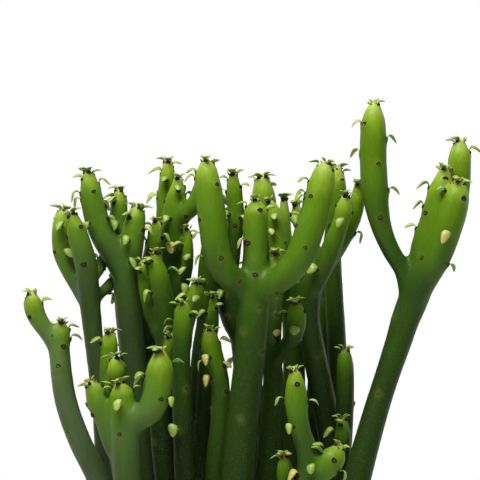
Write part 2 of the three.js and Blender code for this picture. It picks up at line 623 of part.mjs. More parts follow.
// The mix fills the pot to below its rim, with a plain hole for the foot of each stem
function soilSolid() {
  const bottom = innerFloor + CLEARANCE;
  const lowRadius = innerRadiusAt(bottom) - RIM_ROUND - CLEARANCE;
  const topRadius = innerRadiusAt(SOIL_LEVEL) - CLEARANCE - SOIL_MARGIN;
  const outline = [new THREE.Vector2(0, bottom), new THREE.Vector2(lowRadius, bottom)];
  for (let ring = 0; ring < SOIL_RINGS; ring++)
    outline.push(new THREE.Vector2(topRadius * (1 - ring / SOIL_RINGS), SOIL_LEVEL));
  outline.push(new THREE.Vector2(0, SOIL_LEVEL));
  const body = new THREE.LatheGeometry(outline, POT_SIDES).rotateX(Math.PI / 2);
  const place = body.getAttribute("position");
  for (let i = 0; i < place.count; i++) {
    const [x, y, z] = [place.getX(i), place.getY(i), place.getZ(i)];
    if (z > innerFloor + CLEARANCE + SOIL_MARGIN) place.setZ(i, z + soilRelief(x, y));
  }
  const extraRadius = CLEARANCE / Math.cos(TURN / STEM_SIDES / 2);
  return Object.values(STEMS).reduce((soil, [leader]) => {
    const [foot, collar, next] = leader;
    const deeper = [foot[0], foot[1], foot[2] - CLEARANCE, foot[3]];
    return soil.subtract(solidOf(roundStem([deeper, collar, next], extraRadius)));
  }, solidOf(body));
}

const plant = new THREE.Group();
plant.add(meshOf("pot", potSolid(), potMaterial));
plant.add(meshOf("soil", soilSolid(), soilMaterial));
for (const [stem, shoots] of Object.entries(STEMS)) {
  plant.add(meshOf(stem, leafyStem(stem, shoots), stemMaterial));
}

export default plant;
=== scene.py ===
import math
import random

import bmesh
import bpy
import numpy as np
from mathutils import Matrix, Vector, noise


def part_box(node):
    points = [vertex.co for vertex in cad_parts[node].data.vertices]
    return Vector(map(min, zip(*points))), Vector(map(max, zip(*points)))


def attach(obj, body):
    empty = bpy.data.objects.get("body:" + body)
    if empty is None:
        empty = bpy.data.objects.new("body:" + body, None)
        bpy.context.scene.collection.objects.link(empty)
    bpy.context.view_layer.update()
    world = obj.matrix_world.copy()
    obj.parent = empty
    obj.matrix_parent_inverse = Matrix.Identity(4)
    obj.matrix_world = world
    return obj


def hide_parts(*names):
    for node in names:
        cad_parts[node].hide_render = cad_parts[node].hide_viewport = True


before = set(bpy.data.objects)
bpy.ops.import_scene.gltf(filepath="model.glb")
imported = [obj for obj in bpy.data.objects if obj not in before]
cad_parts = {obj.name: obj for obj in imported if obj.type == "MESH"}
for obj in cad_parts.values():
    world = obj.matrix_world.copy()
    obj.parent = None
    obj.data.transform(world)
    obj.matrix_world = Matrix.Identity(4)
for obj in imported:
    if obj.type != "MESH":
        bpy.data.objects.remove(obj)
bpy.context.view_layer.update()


# The pot: a plain nursery pot, moulded in one piece from brick-coloured plastic. It tapers down to a foot
# ring and has a rolled rim. It stands on the ring and on the flat pad under its middle, and its drain holes
# lie between them. Lengths are in metres, and MM is one millimetre.
MM = 0.001
TURN = 2 * math.pi
RIM_DEPTH = 14 * MM
ROLLED_EDGE = 1.4 * MM
FOOT_RADIUS = 62 * MM
FOOT_RING = 8.5 * MM
FOOT_RISE = 3 * MM
FOOT_SLOPE = 1 * MM
PAD_RADIUS = 22 * MM
POT_WALL = 2.4 * MM
POT_FLOOR = 6 * MM
SHOULDER_RADIUS = 83 * MM
DRAIN_CIRCLE = 38 * MM
DRAIN_RADIUS = 4.5 * MM
DRAIN_SIDES = 28
DRAINS = 6
POT_SIDES = 144
EASE_STEPS = 5
EASE_LIMIT = 2.2
POT_BROWN = (0.235, 0.085, 0.042)
POT_DUSTY = (0.33, 0.155, 0.095)


class Finish:
    """A node material for one finish: add() makes a node, and surface is what the light meets."""

    def __init__(self, name):
        self.material = bpy.data.materials.new(name)
        self.material.use_nodes = True
        self.tree = self.material.node_tree
        self.surface = self.tree.nodes["Principled BSDF"]

    def join(self, node, sockets):
        """Links other nodes to a node's sockets, or sets plain values on them."""
        for key, value in sockets.items():
            socket = node.inputs[key]
            if isinstance(value, bpy.types.NodeSocket):
                self.tree.links.new(value, socket)
            elif socket.type == "RGBA":
                socket.default_value = (*value, 1)
            else:
                socket.default_value = value

    def add(self, kind, sockets, **settings):
        """A new node with its sockets joined or set, and its settings made."""
        node = self.tree.nodes.new(kind)
        for key, value in settings.items():
            setattr(node, key, value)
        self.join(node, sockets)
        return node

    def set(self, **sockets):
        """Sets the surface's own sockets, such as Base_Color and Roughness."""
        self.join(self.surface, {key.replace("_", " "): value for key, value in sockets.items()})

    def grain(self, size, detail=4, stretch=(1, 1, 1)):
        """Cloudy noise whose patches are about size metres across, drawn out along the stretched axes."""
        place = self.add("ShaderNodeTexCoord", {}).outputs["Object"]
        scale = tuple(1 / s for s in stretch)
        drawn = self.add("ShaderNodeMapping", {"Vector": place, "Scale": scale}).outputs["Vector"]
        sockets = {"Vector": drawn, "Scale": 1 / size, "Detail": detail, "Roughness": 0.55}
        return self.add("ShaderNodeTexNoise", sockets).outputs["Fac"]

    def spread(self, value, low, high, to_low=0.0, to_high=1.0):
        """A value between low and high, stretched to another range and kept inside it."""
        sockets = {"Value": value, "From Min": low, "From Max": high, "To Min": to_low, "To Max": to_high}
        return self.add("ShaderNodeMapRange", sockets).outputs["Result"]

    def product(self, first, second):
        """Two values multiplied."""
        return self.add("ShaderNodeMath", {0: first, 1: second}, operation="MULTIPLY").outputs[0]

    def blend(self, share, first, second):
        """One colour laid over another by a share."""
        return self.add("ShaderNodeMix", {0: share, 6: first, 7: second}, data_type="RGBA").outputs[2]

    def colours(self, value, stops):
        """A run of colours along a value. Each stop is (value, (red, green, blue))."""
        ramp = self.add("ShaderNodeValToRGB", {"Fac": value})
        band = ramp.color_ramp
        while len(band.elements) < len(stops):
            band.elements.new(1.0)
        for element, (position, colour) in zip(band.elements, stops):
            element.position = position
            element.color = (*colour, 1)
        return ramp.outputs["Color"]

    def attribute(self, name):
        """A value stored on each corner of a piece."""
        return self.add("ShaderNodeAttribute", {}, attribute_name=name).outputs["Fac"]

    def relief(self, height, depth, under=None):
        """Bumps of a real depth in metres. A second relief goes on top of the one under it."""
        sockets = {"Height": height, "Distance": depth, "Strength": 1.0}
        if under is not None:
            sockets["Normal"] = under
        return self.add("ShaderNodeBump", sockets).outputs["Normal"]


def new_piece(name, corners, faces, finish):
    """A smooth-shaded mesh piece that rides on the plant's one body."""
    mesh = bpy.data.meshes.new(name)
    mesh.from_pydata([tuple(corner) for corner in corners], [], faces)
    mesh.polygons.foreach_set("use_smooth", [True] * len(mesh.polygons))
    mesh.materials.append(finish.material)
    piece = bpy.data.objects.new(name, mesh)
    bpy.context.collection.objects.link(piece)
    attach(piece, "root")
    return piece


def settle(piece):
    """Applies a piece's modifiers to its mesh."""
    seen = piece.evaluated_get(bpy.context.evaluated_depsgraph_get())
    made = bpy.data.meshes.new_from_object(seen)
    piece.modifiers.clear()
    piece.data = made


def eased(outline, radius):
    """An outline whose inner corners are rounded off, each over no more than 1 / EASE_LIMIT of a side."""
    points = [Vector(point) for point in outline]
    rounded = [points[0]]
    for before, corner, after in zip(points, points[1:], points[2:]):
        shorter = min((corner - before).length, (after - corner).length)
        reach = min(radius, shorter / EASE_LIMIT)
        start = corner + (before - corner).normalized() * reach
        end = corner + (after - corner).normalized() * reach
        for step in range(EASE_STEPS + 1):
            share = step / EASE_STEPS
            rounded.append(start.lerp(corner, share).lerp(corner.lerp(end, share), share))
    return rounded + [points[-1]]


def capped_faces(rings, sides):
    """Faces of a closed body whose corners are a first point, ring after ring, and a last point."""
    last = rings * sides + 1
    faces = []
    for k in range(sides):
        after = (k + 1) % sides
        faces.append((0, 1 + after, 1 + k))
        for low in range(1, last - sides, sides):
            faces.append((low + k, low + after, low + sides + after, low + sides + k))
        faces.append((last, last - sides + k, last - sides + after))
    return faces


def turned(outline, sides):
    """Corners and faces of a body turned from (radius, height) points that start and end on the axis."""
    corners = [(0, 0, outline[0][1])]
    for radius, height in outline[1:-1]:
        for k in range(sides):
            angle = TURN * k / sides
            corners.append((radius * math.cos(angle), radius * math.sin(angle), height))
    corners.append((0, 0, outline[-1][1]))
    return corners, capped_faces(len(outline) - 2, sides)


pot_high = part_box("pot")[1]
rim_radius, pot_height = pot_high[0], pot_high[2]
rim_foot = pot_height - RIM_DEPTH


def pot_inside(height):
    """The pot's inner radius at a height."""
    return FOOT_RADIUS + (SHOULDER_RADIUS - FOOT_RADIUS) * height / rim_foot - POT_WALL


pot_outline = [
    (0, 0),
    (PAD_RADIUS, 0),
    (PAD_RADIUS + FOOT_SLOPE, FOOT_RISE),
    (FOOT_RADIUS - FOOT_RING - FOOT_SLOPE, FOOT_RISE),
    (FOOT_RADIUS - FOOT_RING, 0),
    (FOOT_RADIUS, 0),
    (SHOULDER_RADIUS, rim_foot),
    (rim_radius, rim_foot),
    (rim_radius, pot_height),
    (pot_inside(pot_height), pot_height),
    (pot_inside(POT_FLOOR), POT_FLOOR),
    (0, POT_FLOOR),
]

brick_plastic = Finish("brick_plastic")
speckle = brick_plastic.grain(0.9 * MM, detail=3)
scuffs = brick_plastic.grain(28 * MM, detail=6, stretch=(1, 1, 2.5))
film = brick_plastic.spread(scuffs, 0.45, 0.72, 0.0, 0.55)
brick_plastic.set(
    Base_Color=brick_plastic.blend(film, POT_BROWN, POT_DUSTY),
    Roughness=brick_plastic.spread(scuffs, 0.3, 0.7, 0.48, 0.66),
    Normal=brick_plastic.relief(speckle, 0.05 * MM),
    Specular_IOR_Level=0.4,
)

pot_piece = new_piece("pot_moulding", *turned(eased(pot_outline, ROLLED_EDGE), POT_SIDES), brick_plastic)
drill = bmesh.new()
for hole in range(DRAINS):
    angle = TURN * (hole + 0.5) / DRAINS
    made = bmesh.ops.create_cone(
        drill,
        cap_ends=True,
        segments=DRAIN_SIDES,
        radius1=DRAIN_RADIUS,
        radius2=DRAIN_RADIUS,
        depth=4 * POT_FLOOR,
    )
    place = Vector((DRAIN_CIRCLE * math.cos(angle), DRAIN_CIRCLE * math.sin(angle), 0))
    bmesh.ops.translate(drill, verts=made["verts"], vec=place)
drain_cutters = bpy.data.objects.new("drain_cutters", bpy.data.meshes.new("drain_cutters"))
drill.to_mesh(drain_cutters.data)
drill.free()
bpy.context.collection.objects.link(drain_cutters)
drilled = pot_piece.modifiers.new("drains", "BOOLEAN")
drilled.object = drain_cutters
drilled.operation = "DIFFERENCE"
settle(pot_piece)
bpy.data.objects.remove(drain_cutters)
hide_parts("pot")


# The potting mix: damp peat with crumbs of bark and a few white grains of perlite. It fills the pot to just
# below its rim, and the stems stand in it. A length without MM is in millimetres, and a crumb's width and
# height are shares of its length.
MIX_LEVEL = 139 * MM
MIX_GAP = 0.35 * MM
MIX_RINGS = 64
MIX_SIDES = 190
MIX_SWELL = 1.1 * MM
MIX_CRUMBLE = 1.5 * MM
CRUMBLE_SIZE = 5
CRUMBLE_SLICE = 0.3
CRUMBLE_FALL = 0.7
CRUMBLE_STEP = 2.1
CRUMBLE_LEVELS = 5
CRUMBS = 520
CRUMB_SPREAD = 0.94
CRUMB_WIDTH = (0.55, 0.95)
CRUMB_HEIGHT = (0.3, 0.6)
CRUMB_ROUGHNESS = 0.35
CRUMB_LIFT = 0.3
BARK_LENGTH = (0.7, 2.6)
BARK_KIND = (0.25, 0.7)
PERLITE_LENGTH = (0.8, 1.6)
PERLITE_KIND = 1.0
PERLITE_SHARE = 0.09
PEAT_DARK = (0.016, 0.010, 0.007)
PEAT_BROWN = (0.055, 0.032, 0.020)
BARK_BROWN = (0.115, 0.060, 0.034)
PERLITE_WHITE = (0.52, 0.50, 0.45)


def mix_height(x, y):
    """The mix's surface: broad hollows, with crumbs of several sizes on them."""
    across, back = x / MM, y / MM
    swell = math.sin(across / 6.1 + 1.2) * math.cos(back / 5.3)
    swell += 0.6 * math.sin((across + back) / 9.7) + 0.5 * math.cos((across - back) / 7.9)
    spot = Vector((across / CRUMBLE_SIZE, back / CRUMBLE_SIZE, CRUMBLE_SLICE))
    crumble = noise.fractal(spot, CRUMBLE_FALL, CRUMBLE_STEP, CRUMBLE_LEVELS)
    return MIX_LEVEL + MIX_SWELL * swell + MIX_CRUMBLE * crumble


mix_bottom = POT_FLOOR + MIX_GAP
mix_radius = pot_inside(MIX_LEVEL) - MIX_GAP
mix_outline = [(0, mix_bottom), (pot_inside(mix_bottom) - MIX_GAP - ROLLED_EDGE, mix_bottom)]
mix_outline += [(mix_radius * (1 - ring / MIX_RINGS), MIX_LEVEL) for ring in range(MIX_RINGS)]
flat_corners, mix_faces = turned([*mix_outline, (0, MIX_LEVEL)], MIX_SIDES)
mix_corners = [(x, y, mix_height(x, y) if z > MIX_LEVEL - MM else z) for x, y, z in flat_corners]
mix_kinds = [0.0] * len(mix_corners)

crumb_shape = bmesh.new()
bmesh.ops.create_icosphere(crumb_shape, subdivisions=2, radius=1.0)
crumb_corners = [corner.co.copy() for corner in crumb_shape.verts]
crumb_faces = [tuple(corner.index for corner in face.verts) for face in crumb_shape.faces]
crumb_shape.free()
draw = random.Random(11)
for _ in range(CRUMBS):
    angle, out = draw.uniform(0, TURN), mix_radius * math.sqrt(draw.uniform(0, CRUMB_SPREAD))
    x, y = out * math.cos(angle), out * math.sin(angle)
    is_perlite = draw.random() < PERLITE_SHARE
    length = draw.uniform(*PERLITE_LENGTH) if is_perlite else draw.uniform(*BARK_LENGTH)
    size = Vector((length, length * draw.uniform(*CRUMB_WIDTH), length * draw.uniform(*CRUMB_HEIGHT))) * MM
    heading, seed = draw.uniform(0, TURN), draw.uniform(0, 50)
    start = len(mix_corners)
    for corner in crumb_corners:
        rough = 1 + CRUMB_ROUGHNESS * noise.noise(corner * 1.3 + Vector((seed, 0, 0)))
        px, py, pz = (corner.x * size.x * rough, corner.y * size.y * rough, corner.z * size.z * rough)
        turned_x = px * math.cos(heading) - py * math.sin(heading)
        turned_y = px * math.sin(heading) + py * math.cos(heading)
        mix_corners.append((x + turned_x, y + turned_y, mix_height(x, y) + pz + size.z * CRUMB_LIFT))
    kind = PERLITE_KIND if is_perlite else draw.uniform(*BARK_KIND)
    mix_kinds += [kind] * len(crumb_corners)
    mix_faces += [tuple(start + index for index in face) for face in crumb_faces]

damp_peat = Finish("damp_peat")
peat_patches = damp_peat.grain(3.5 * MM, detail=7)
peat_fibres = damp_peat.grain(0.6 * MM)
peat_colour = damp_peat.blend(damp_peat.spread(peat_patches, 0.35, 0.68), PEAT_DARK, PEAT_BROWN)
crumb_kind = damp_peat.attribute("kind")
bark_colour = damp_peat.blend(damp_peat.spread(peat_fibres, 0.3, 0.7), PEAT_BROWN, BARK_BROWN)
with_bark = damp_peat.blend(damp_peat.spread(crumb_kind, 0.05, 0.6), peat_colour, bark_colour)
damp_peat.set(
    Base_Color=damp_peat.blend(damp_peat.spread(crumb_kind, 0.85, 0.95), with_bark, PERLITE_WHITE),
    Roughness=damp_peat.spread(peat_patches, 0.3, 0.7, 0.78, 0.97),
    Normal=damp_peat.relief(peat_fibres, 0.25 * MM),
    Specular_IOR_Level=0.25,
)


def set_values(piece, name, values):
    """Stores one number for each corner of a piece, for its finish to read."""
    store = piece.data.attributes.new(name, "FLOAT", "POINT")
    store.data.foreach_set("value", np.asarray(values, dtype=np.float32))


mix_piece = new_piece("potting_mix", mix_corners, mix_faces, damp_peat)
set_values(mix_piece, "kind", mix_kinds)
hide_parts("soil")


# The stems: juicy and finger-thick, rooted in the mix, each a leader with side shoots that grow out of it
# without a seam. Young tips are lime, and old skin is dark green under a thin grey bloom, a little swollen
# below each leaf. Shoots deep in the clump are made darker still, as painted shade. A point is
# [x, y, z, radius] in millimetres, from root end to tip, the leader's first.
STEMS = {
    "stem_front_middle": [
        [[-8, -27, 108, 8.2], [-8, -27, 147, 8.4], [-5, -28, 190, 8.2], [-1.5, -29, 240, 8.1],
         [1.5, -30, 272, 7.8], [5, -31, 305, 7.6], [6.5, -31, 324, 8], [7.5, -30, 340, 7.2],
         [7.5, -28, 355, 6.1], [7.5, -27, 367.5, 6.2], [8, -26.5, 375, 5.5], [8, -26.5, 380, 2.1]],
        [[4, -31, 333, 5.6], [-2, -34, 339, 6.2], [-8, -37, 345.5, 6.6], [-11.5, -38, 354, 6.8],
         [-13, -38, 365, 7], [-14.5, -37, 377.5, 7.1], [-16, -36, 389, 6.1], [-16.5, -35.5, 395, 4.6],
         [-16.7, -35.3, 399, 2.1]],
        [[10, -31, 333, 5.6], [15.5, -34, 337.5, 6.2], [22.3, -36, 343, 6.7], [29, -37, 351.5, 6.9],
         [34, -37, 364, 7.1], [37.5, -36, 376, 6.9], [40.2, -35, 387.5, 6.4], [41.6, -34.5, 393.5, 5],
         [42.7, -34, 397.5, 2.4]],
        [[16, -30, 336, 3], [16.5, -28, 342.5, 3], [17.5, -27, 349, 2.6], [17.5, -27, 353.5, 1.2]],
    ],
    "stem_far_right": [
        [[32, -15, 108, 7.2], [33.5, -15, 147, 7.4], [44.7, -13.5, 190, 7.2], [57.9, -12, 240, 6.9],
         [66.3, -8, 270, 6.2], [71, -5, 285, 6.1], [76, -3, 300, 6.2], [79.5, -1, 310, 6.4],
         [82.7, 0, 320, 6.9], [86.6, 0, 330, 7.5], [90, 0, 340, 7.5], [92.4, -2, 357.5, 6.8],
         [95.6, -3, 367.5, 6.5], [98.4, -3, 377.5, 6.4], [100.8, -3, 386, 6], [102.2, -3, 395.5, 2.2]],
        [[85, -1, 334, 5.6], [81.3, -2, 345, 4.6], [75.9, -3, 354, 4.6], [71.6, -4, 363.5, 5],
         [68.8, -4, 374, 5.8], [67.3, -4, 385, 6.7], [66.7, -3, 397.5, 6.5], [66.7, -3, 412, 6.4],
         [66.8, -3, 419.5, 5.7], [66.8, -3, 424, 4.4], [66.8, -3, 427.8, 2.3]],
        [[91, 3, 341, 6], [100, 8, 355, 6], [105, 9, 367.5, 6], [109, 9, 382.5, 5.8],
         [110.1, 9, 395, 5.8], [110.4, 9, 403, 5.2], [110.9, 9, 409.5, 2.2]],
        [[86.5, -2, 329, 6.2], [91.7, -6, 340, 6.8], [98.3, -8, 352.5, 7.1], [103, -9, 365, 7.2],
         [106.5, -9, 376.5, 7.1], [108.2, -9, 384, 5.8], [108.5, -9, 389, 2.3]],
    ],
    "stem_far_left": [
        [[-40, -12, 108, 7], [-42, -12, 147, 7.1], [-55, -12, 190, 6.6], [-69.9, -12, 240, 5.9],
         [-79.7, -12, 260, 5.4], [-86.6, -12, 280, 5.2], [-89.4, -12, 300, 5.2], [-89.9, -12, 308, 5.3],
         [-89.2, -12, 315, 4.6], [-88.6, -12, 319.2, 2.2]],
        [[-91.2, -12, 306, 4.2], [-95.2, -12, 313, 4.4], [-100, -12, 320, 4.7], [-102.8, -12, 326, 4.8],
         [-103.5, -12, 331, 4], [-103.7, -12, 333.4, 2]],
    ],
    "stem_left_outer": [
        [[-42, 3, 108, 6.3], [-43.5, 3, 147, 6.4], [-56, 4, 190, 6], [-66, 4, 240, 5.4],
         [-69.4, 4, 280, 4.9], [-72.4, 4, 303, 4.7], [-75.1, 3, 328, 5.4], [-77, -2, 347.5, 5.7],
         [-79.5, -5, 357.5, 5.4], [-82, -6, 366, 4.7], [-84, -6, 373.3, 2]],
        [[-77.4, 6, 330, 4.5], [-81.6, 8, 337.5, 4.5], [-85.8, 10, 345, 4.4], [-89.2, 11, 354, 4.6],
         [-89.8, 11, 365, 4.5], [-88.8, 11, 372, 3.6], [-88, 11, 375, 1.8]],
        [[-72.5, 5, 330.5, 3], [-69, 10, 334, 3.1], [-66, 15, 336.8, 3.1], [-63.3, 20, 339.5, 2.8],
         [-61.8, 23, 342.5, 1.6]],
        [[-75, 4, 338.5, 3], [-71.5, 11, 344, 3], [-69, 17, 349.5, 2.7], [-68.6, 19.5, 355, 1.4]],
    ],
    "stem_left_back": [
        [[-30, 18, 108, 7], [-31, 18, 147, 7.1], [-38.5, 16, 190, 7], [-47, 13, 240, 6.8],
         [-52, 11, 285, 6.6], [-55.9, 10, 325, 6.8], [-56.6, 10, 342.5, 6.7], [-54, 10, 360, 6],
         [-53, 10, 367.5, 5.6], [-52, 10, 373, 4.3], [-51.7, 10, 376.5, 2.1]],
        [[-58, 9, 342, 5.8], [-62.5, 9, 351.5, 6.1], [-68.1, 9, 361, 6], [-71.7, 9, 370, 6],
         [-74, 8, 380, 5.5], [-75.4, 8, 387.5, 4.5], [-76.2, 8, 394.2, 1.9]],
        [[-59, 15, 345, 4.6], [-61, 21, 357.5, 4.5], [-61.5, 24, 367.5, 4.4], [-61, 25, 379, 3.9],
         [-61, 25, 385, 1.8]],
    ],
    "stem_back_left": [
        [[-14, 32, 108, 6.8], [-14.5, 32, 147, 7], [-22, 33, 190, 6.6], [-29, 33, 240, 6.2],
         [-32, 32, 290, 6], [-34, 31, 335, 6], [-34.5, 30, 355, 6], [-34, 28, 367.5, 5.9],
         [-32.5, 27, 380, 5.1], [-31, 27, 391.2, 2.1]],
        [[-35.5, 33, 352, 4.6], [-37.6, 38, 365, 4.8], [-37.3, 40, 382, 4.6], [-36.7, 40, 393.5, 3.4],
         [-36.7, 40, 399.7, 1.8]],
        [[-33, 28, 366, 4.4], [-29.5, 25, 371.5, 4.4], [-25.5, 23, 375, 4.4], [-22, 21, 379, 4.6],
         [-20, 20, 384, 4.5], [-19, 20, 390, 3.6], [-19, 20, 394, 1.8]],
        [[-31, 28, 328, 3.1], [-27.5, 24, 341, 3], [-26.2, 22, 355, 2.7], [-26.5, 22, 366, 1.4]],
    ],
    "stem_back_slim_left": [
        [[-44, 32, 108, 5.4], [-44, 32, 147, 5.4], [-45, 30, 190, 5.2], [-46, 28, 240, 5],
         [-46.5, 26, 290, 4.7], [-47, 24, 330, 4.4], [-45.8, 22, 348, 4.1], [-43.3, 20, 358, 4],
         [-42.3, 20, 365, 3.1], [-42.1, 20, 369.3, 1.7]],
    ],
    "stem_back_inner": [
        [[-2, 13, 108, 5.8], [-3, 13.5, 147, 5.8], [-12, 19, 190, 5.6], [-20, 22, 240, 5.4],
         [-20, 22, 275, 5.5], [-19, 22, 302, 5.5], [-16.6, 20.5, 322, 5], [-16, 19, 345, 5],
         [-14, 17, 360, 4.8], [-13, 16, 375, 3.8], [-12.8, 16, 381, 1.8]],
        [[-17, 19, 320, 3.4], [-19.5, 16, 327, 3.2], [-21.2, 14, 334, 3], [-21.5, 14, 339, 1.5]],
    ],
    "stem_left_middle": [
        [[-24, 0, 108, 6.2], [-24.5, 0, 147, 6.3], [-30, -1, 190, 6], [-37, -2, 240, 5.6],
         [-39.8, -2, 280, 5.4], [-37.4, -2, 305, 5.3], [-36.8, -3, 320, 5.3], [-39, -3, 334, 5.2],
         [-41, -4, 344, 4.7], [-42.5, -4, 353.7, 2]],
        [[-41, -1, 312, 3.4], [-45, 1, 322, 3.1], [-47.6, 2, 334, 3], [-48.6, 2, 343, 2.6],
         [-48.8, 2, 349, 1.4]],
        [[-38, -3, 290, 4], [-36, -8, 298, 4.2], [-34.8, -10, 306, 3.9], [-34.6, -10, 311.7, 2]],
    ],
    "stem_short_left": [
        [[-20, -14, 108, 6], [-21, -14, 147, 6.2], [-24, -16, 190, 5.8], [-27, -18, 240, 5.6],
         [-28.5, -19, 280, 5], [-29, -19, 302, 4.7], [-28.2, -19, 319, 5], [-28, -19, 325.5, 4.2],
         [-28, -19, 328.7, 2.2]],
        [[-27.7, -14, 305, 4], [-27, -10, 317.5, 4.2], [-25, -9, 326, 4.4], [-22, -9, 333, 4.2],
         [-21.2, -9, 338.5, 2]],
    ],
    "stem_slim": [
        [[-15, 8.5, 108, 4.8], [-15.5, 8.5, 147, 4.8], [-18, 8, 190, 4.6], [-19.5, 7.5, 240, 4.4],
         [-18, 7, 280, 4.1], [-16.3, 6, 305, 3.9], [-14, 6, 319, 3.5], [-13, 6, 331.5, 1.6]],
    ],
    "stem_short_middle": [
        [[-6, -10.5, 108, 5.8], [-6.5, -10.5, 147, 5.9], [-9.5, -12.5, 190, 5.8], [-12, -14, 240, 5.7],
         [-9.5, -15, 272, 5.2], [-10.5, -15, 292.5, 4.7], [-14.3, -15, 306, 4.8], [-15, -15, 312, 3.8],
         [-15, -15, 315.5, 2]],
    ],
    "stem_back_middle": [
        [[4, 26, 108, 6.4], [4, 26, 147, 6.6], [4, 27, 190, 6.2], [3.5, 28, 240, 5.9], [3, 28, 280, 5.8],
         [1.8, 28, 303, 5.8], [0.6, 28, 312, 6.1], [-2.2, 28, 319, 6.8], [-4.5, 28, 327, 6.9],
         [-6.5, 28, 340, 6], [-4.5, 29, 355, 4.9], [-2.2, 30, 372.5, 4.3], [-3.1, 30, 386, 3.8],
         [-3.7, 30, 393.5, 1.7]],
        [[1, 29, 322, 5], [6.5, 32.5, 340, 5.2], [10.8, 35.5, 358, 5.8], [12.2, 36, 372.5, 6.5],
         [11.8, 36, 384, 5.7], [11, 36, 392, 2.6]],
    ],
    "stem_back_slim_right": [
        [[22, 20, 108, 5.6], [23, 20, 147, 5.6], [24.2, 20, 190, 5.6], [24.6, 20, 240, 5.9],
         [27.3, 21, 290, 5.5], [25.5, 23, 330, 4.6], [23.6, 25, 352, 3.8], [22.5, 26, 367.5, 3.3],
         [22.3, 26, 375.7, 2.7], [22.2, 26, 381, 1.5]],
    ],
    "stem_right_inner": [
        [[10, -9, 108, 6], [10, -9, 147, 6.1], [11.5, -9, 190, 5.8], [13, -9, 240, 5.6],
         [16.2, -6, 280, 5.3], [16.5, -3, 302, 4.8], [17, 0, 315, 3.8], [18.2, 4, 327.5, 3.6],
         [19.5, 9, 340, 3.8], [19.5, 13, 352.5, 4.4], [18.5, 15, 364, 4.7], [16.4, 16, 374.5, 3.9],
         [15, 16, 379.5, 1.9]],
        [[17, -4, 299, 4], [21, -8, 305, 4], [25.5, -11, 310, 4.2], [28, -12, 318, 4.7],
         [27.8, -12, 325.5, 3.8], [27.5, -12, 329, 1.9]],
    ],
    "stem_right_middle": [
        [[22, 5, 108, 6.2], [23, 6, 147, 6.3], [35.5, 11, 190, 6.2], [47, 16, 240, 6.2],
         [44, 14, 270, 6.1], [38, 10, 300, 6], [34, 7, 322, 6.1], [36, 6, 339, 6.2], [41.5, 7, 347, 5.3],
         [47.5, 8, 355, 4.9], [53, 9, 364, 4.6], [57, 10, 373, 4.3], [59, 10, 381, 3.5],
         [59.4, 10, 388, 1.6]],
        [[36, 4, 335, 5], [42, 0, 347, 5], [46.2, -1, 357.5, 4.9], [50, -2, 367.5, 4.3],
         [52.2, -2, 377, 3.9], [52.5, -2, 382.3, 1.7]],
    ],
    "stem_right_back": [
        [[36, 30, 108, 6], [37, 30, 147, 6.1], [45, 30, 190, 5.8], [51, 31, 240, 5.6],
         [50.5, 31, 270, 5.2], [48.8, 30, 307.5, 4.9], [46.7, 28, 345, 4.6], [46.6, 24, 360, 4.4],
         [48.7, 20, 375, 4.5], [49.2, 19, 388, 4.1], [48.8, 19, 396, 1.9]],
    ],
    "stem_back_right": [
        [[21, 38, 108, 6], [22, 38, 147, 6.1], [30, 39, 190, 5.9], [37, 40, 240, 5.6], [39, 40, 280, 5.2],
         [41.7, 39, 325, 4.9], [41, 39, 342.5, 4.6], [37, 39, 355, 4.3], [32, 39, 365, 3.9],
         [29, 40, 372.5, 3.2], [28.5, 40, 378, 1.6]],
    ],
    "stem_short_right": [
        [[35.5, -1, 108, 5.1], [36.5, -1, 147, 5.2], [44, 1.5, 190, 4.8], [50, 4, 240, 4.5],
         [52.3, 4, 272, 4.5], [52.7, 4, 296, 4.5], [52.5, 4, 302, 3.6], [52.4, 4, 304.8, 2]],
        [[51, 2, 244, 3.8], [51.5, -2, 254, 4.1], [51.3, -4, 264, 3.8], [51, -4, 270.6, 1.8]],
    ],
    "stem_front_right": [
        [[12, -41, 108, 6.6], [12.5, -41, 147, 6.8], [24, -43, 190, 6.6], [34, -46, 240, 6.4],
         [34.5, -46, 248, 6.3], [33, -46, 257, 5.4], [30, -46, 266, 5], [28, -46, 276, 5.5],
         [27.5, -46, 285, 5.6], [27, -46, 291.5, 4.2], [26.5, -46, 296, 2.1]],
        [[35, -46, 242, 5.6], [40, -47, 247, 6.2], [43.5, -48, 250.5, 6.6], [47, -48, 254.8, 5.7],
         [49.2, -48, 258.3, 2.2]],
    ],
    "stem_young_right": [
        [[21, -24, 108, 4.6], [21.5, -24, 147, 4.6], [22.5, -27, 190, 4.3], [22.5, -30, 235, 4],
         [22.2, -30, 248, 3.7], [21.8, -30, 253.5, 1.7]],
    ],
    "stem_front_left": [
        [[-27, -38, 108, 7], [-28, -38, 147, 7.2], [-42, -41, 190, 7.1], [-55, -44, 240, 7],
         [-56, -45, 262.5, 7], [-57.2, -45, 272, 7.1], [-57.7, -45, 281, 6.4], [-58.5, -45, 286.5, 4.9],
         [-59.5, -45, 289.5, 2.4]],
        [[-55, -46, 269, 5.6], [-49.5, -48, 272, 5.8], [-44.5, -49, 276, 6.3], [-41.3, -49, 283, 6.9],
         [-39.8, -49, 292, 6.9], [-39.2, -49, 299, 6], [-39, -49, 305.5, 2.4]],
        [[-57, -43, 249, 4], [-62, -42, 255, 3.5], [-65, -41, 262, 3.5], [-67, -40, 271.5, 4.4],
         [-69.8, -40, 280.5, 5.6], [-71.7, -40, 286.3, 4.4], [-73.3, -40, 290, 2.2]],
    ],
    "stem_young_left": [
        [[-37.5, -26, 108, 5], [-38.5, -26, 147, 5.1], [-48, -27, 190, 5], [-58, -27, 240, 4.6],
         [-65, -27, 275, 4.2], [-65.7, -27, 290, 4.1], [-64.8, -27, 305, 4.5], [-64.7, -27, 311, 3.8],
         [-64.7, -27, 314.5, 2]],
        [[-64.5, -29, 280, 3.6], [-62, -33, 288.5, 4.2], [-61, -35, 296.5, 4.8],
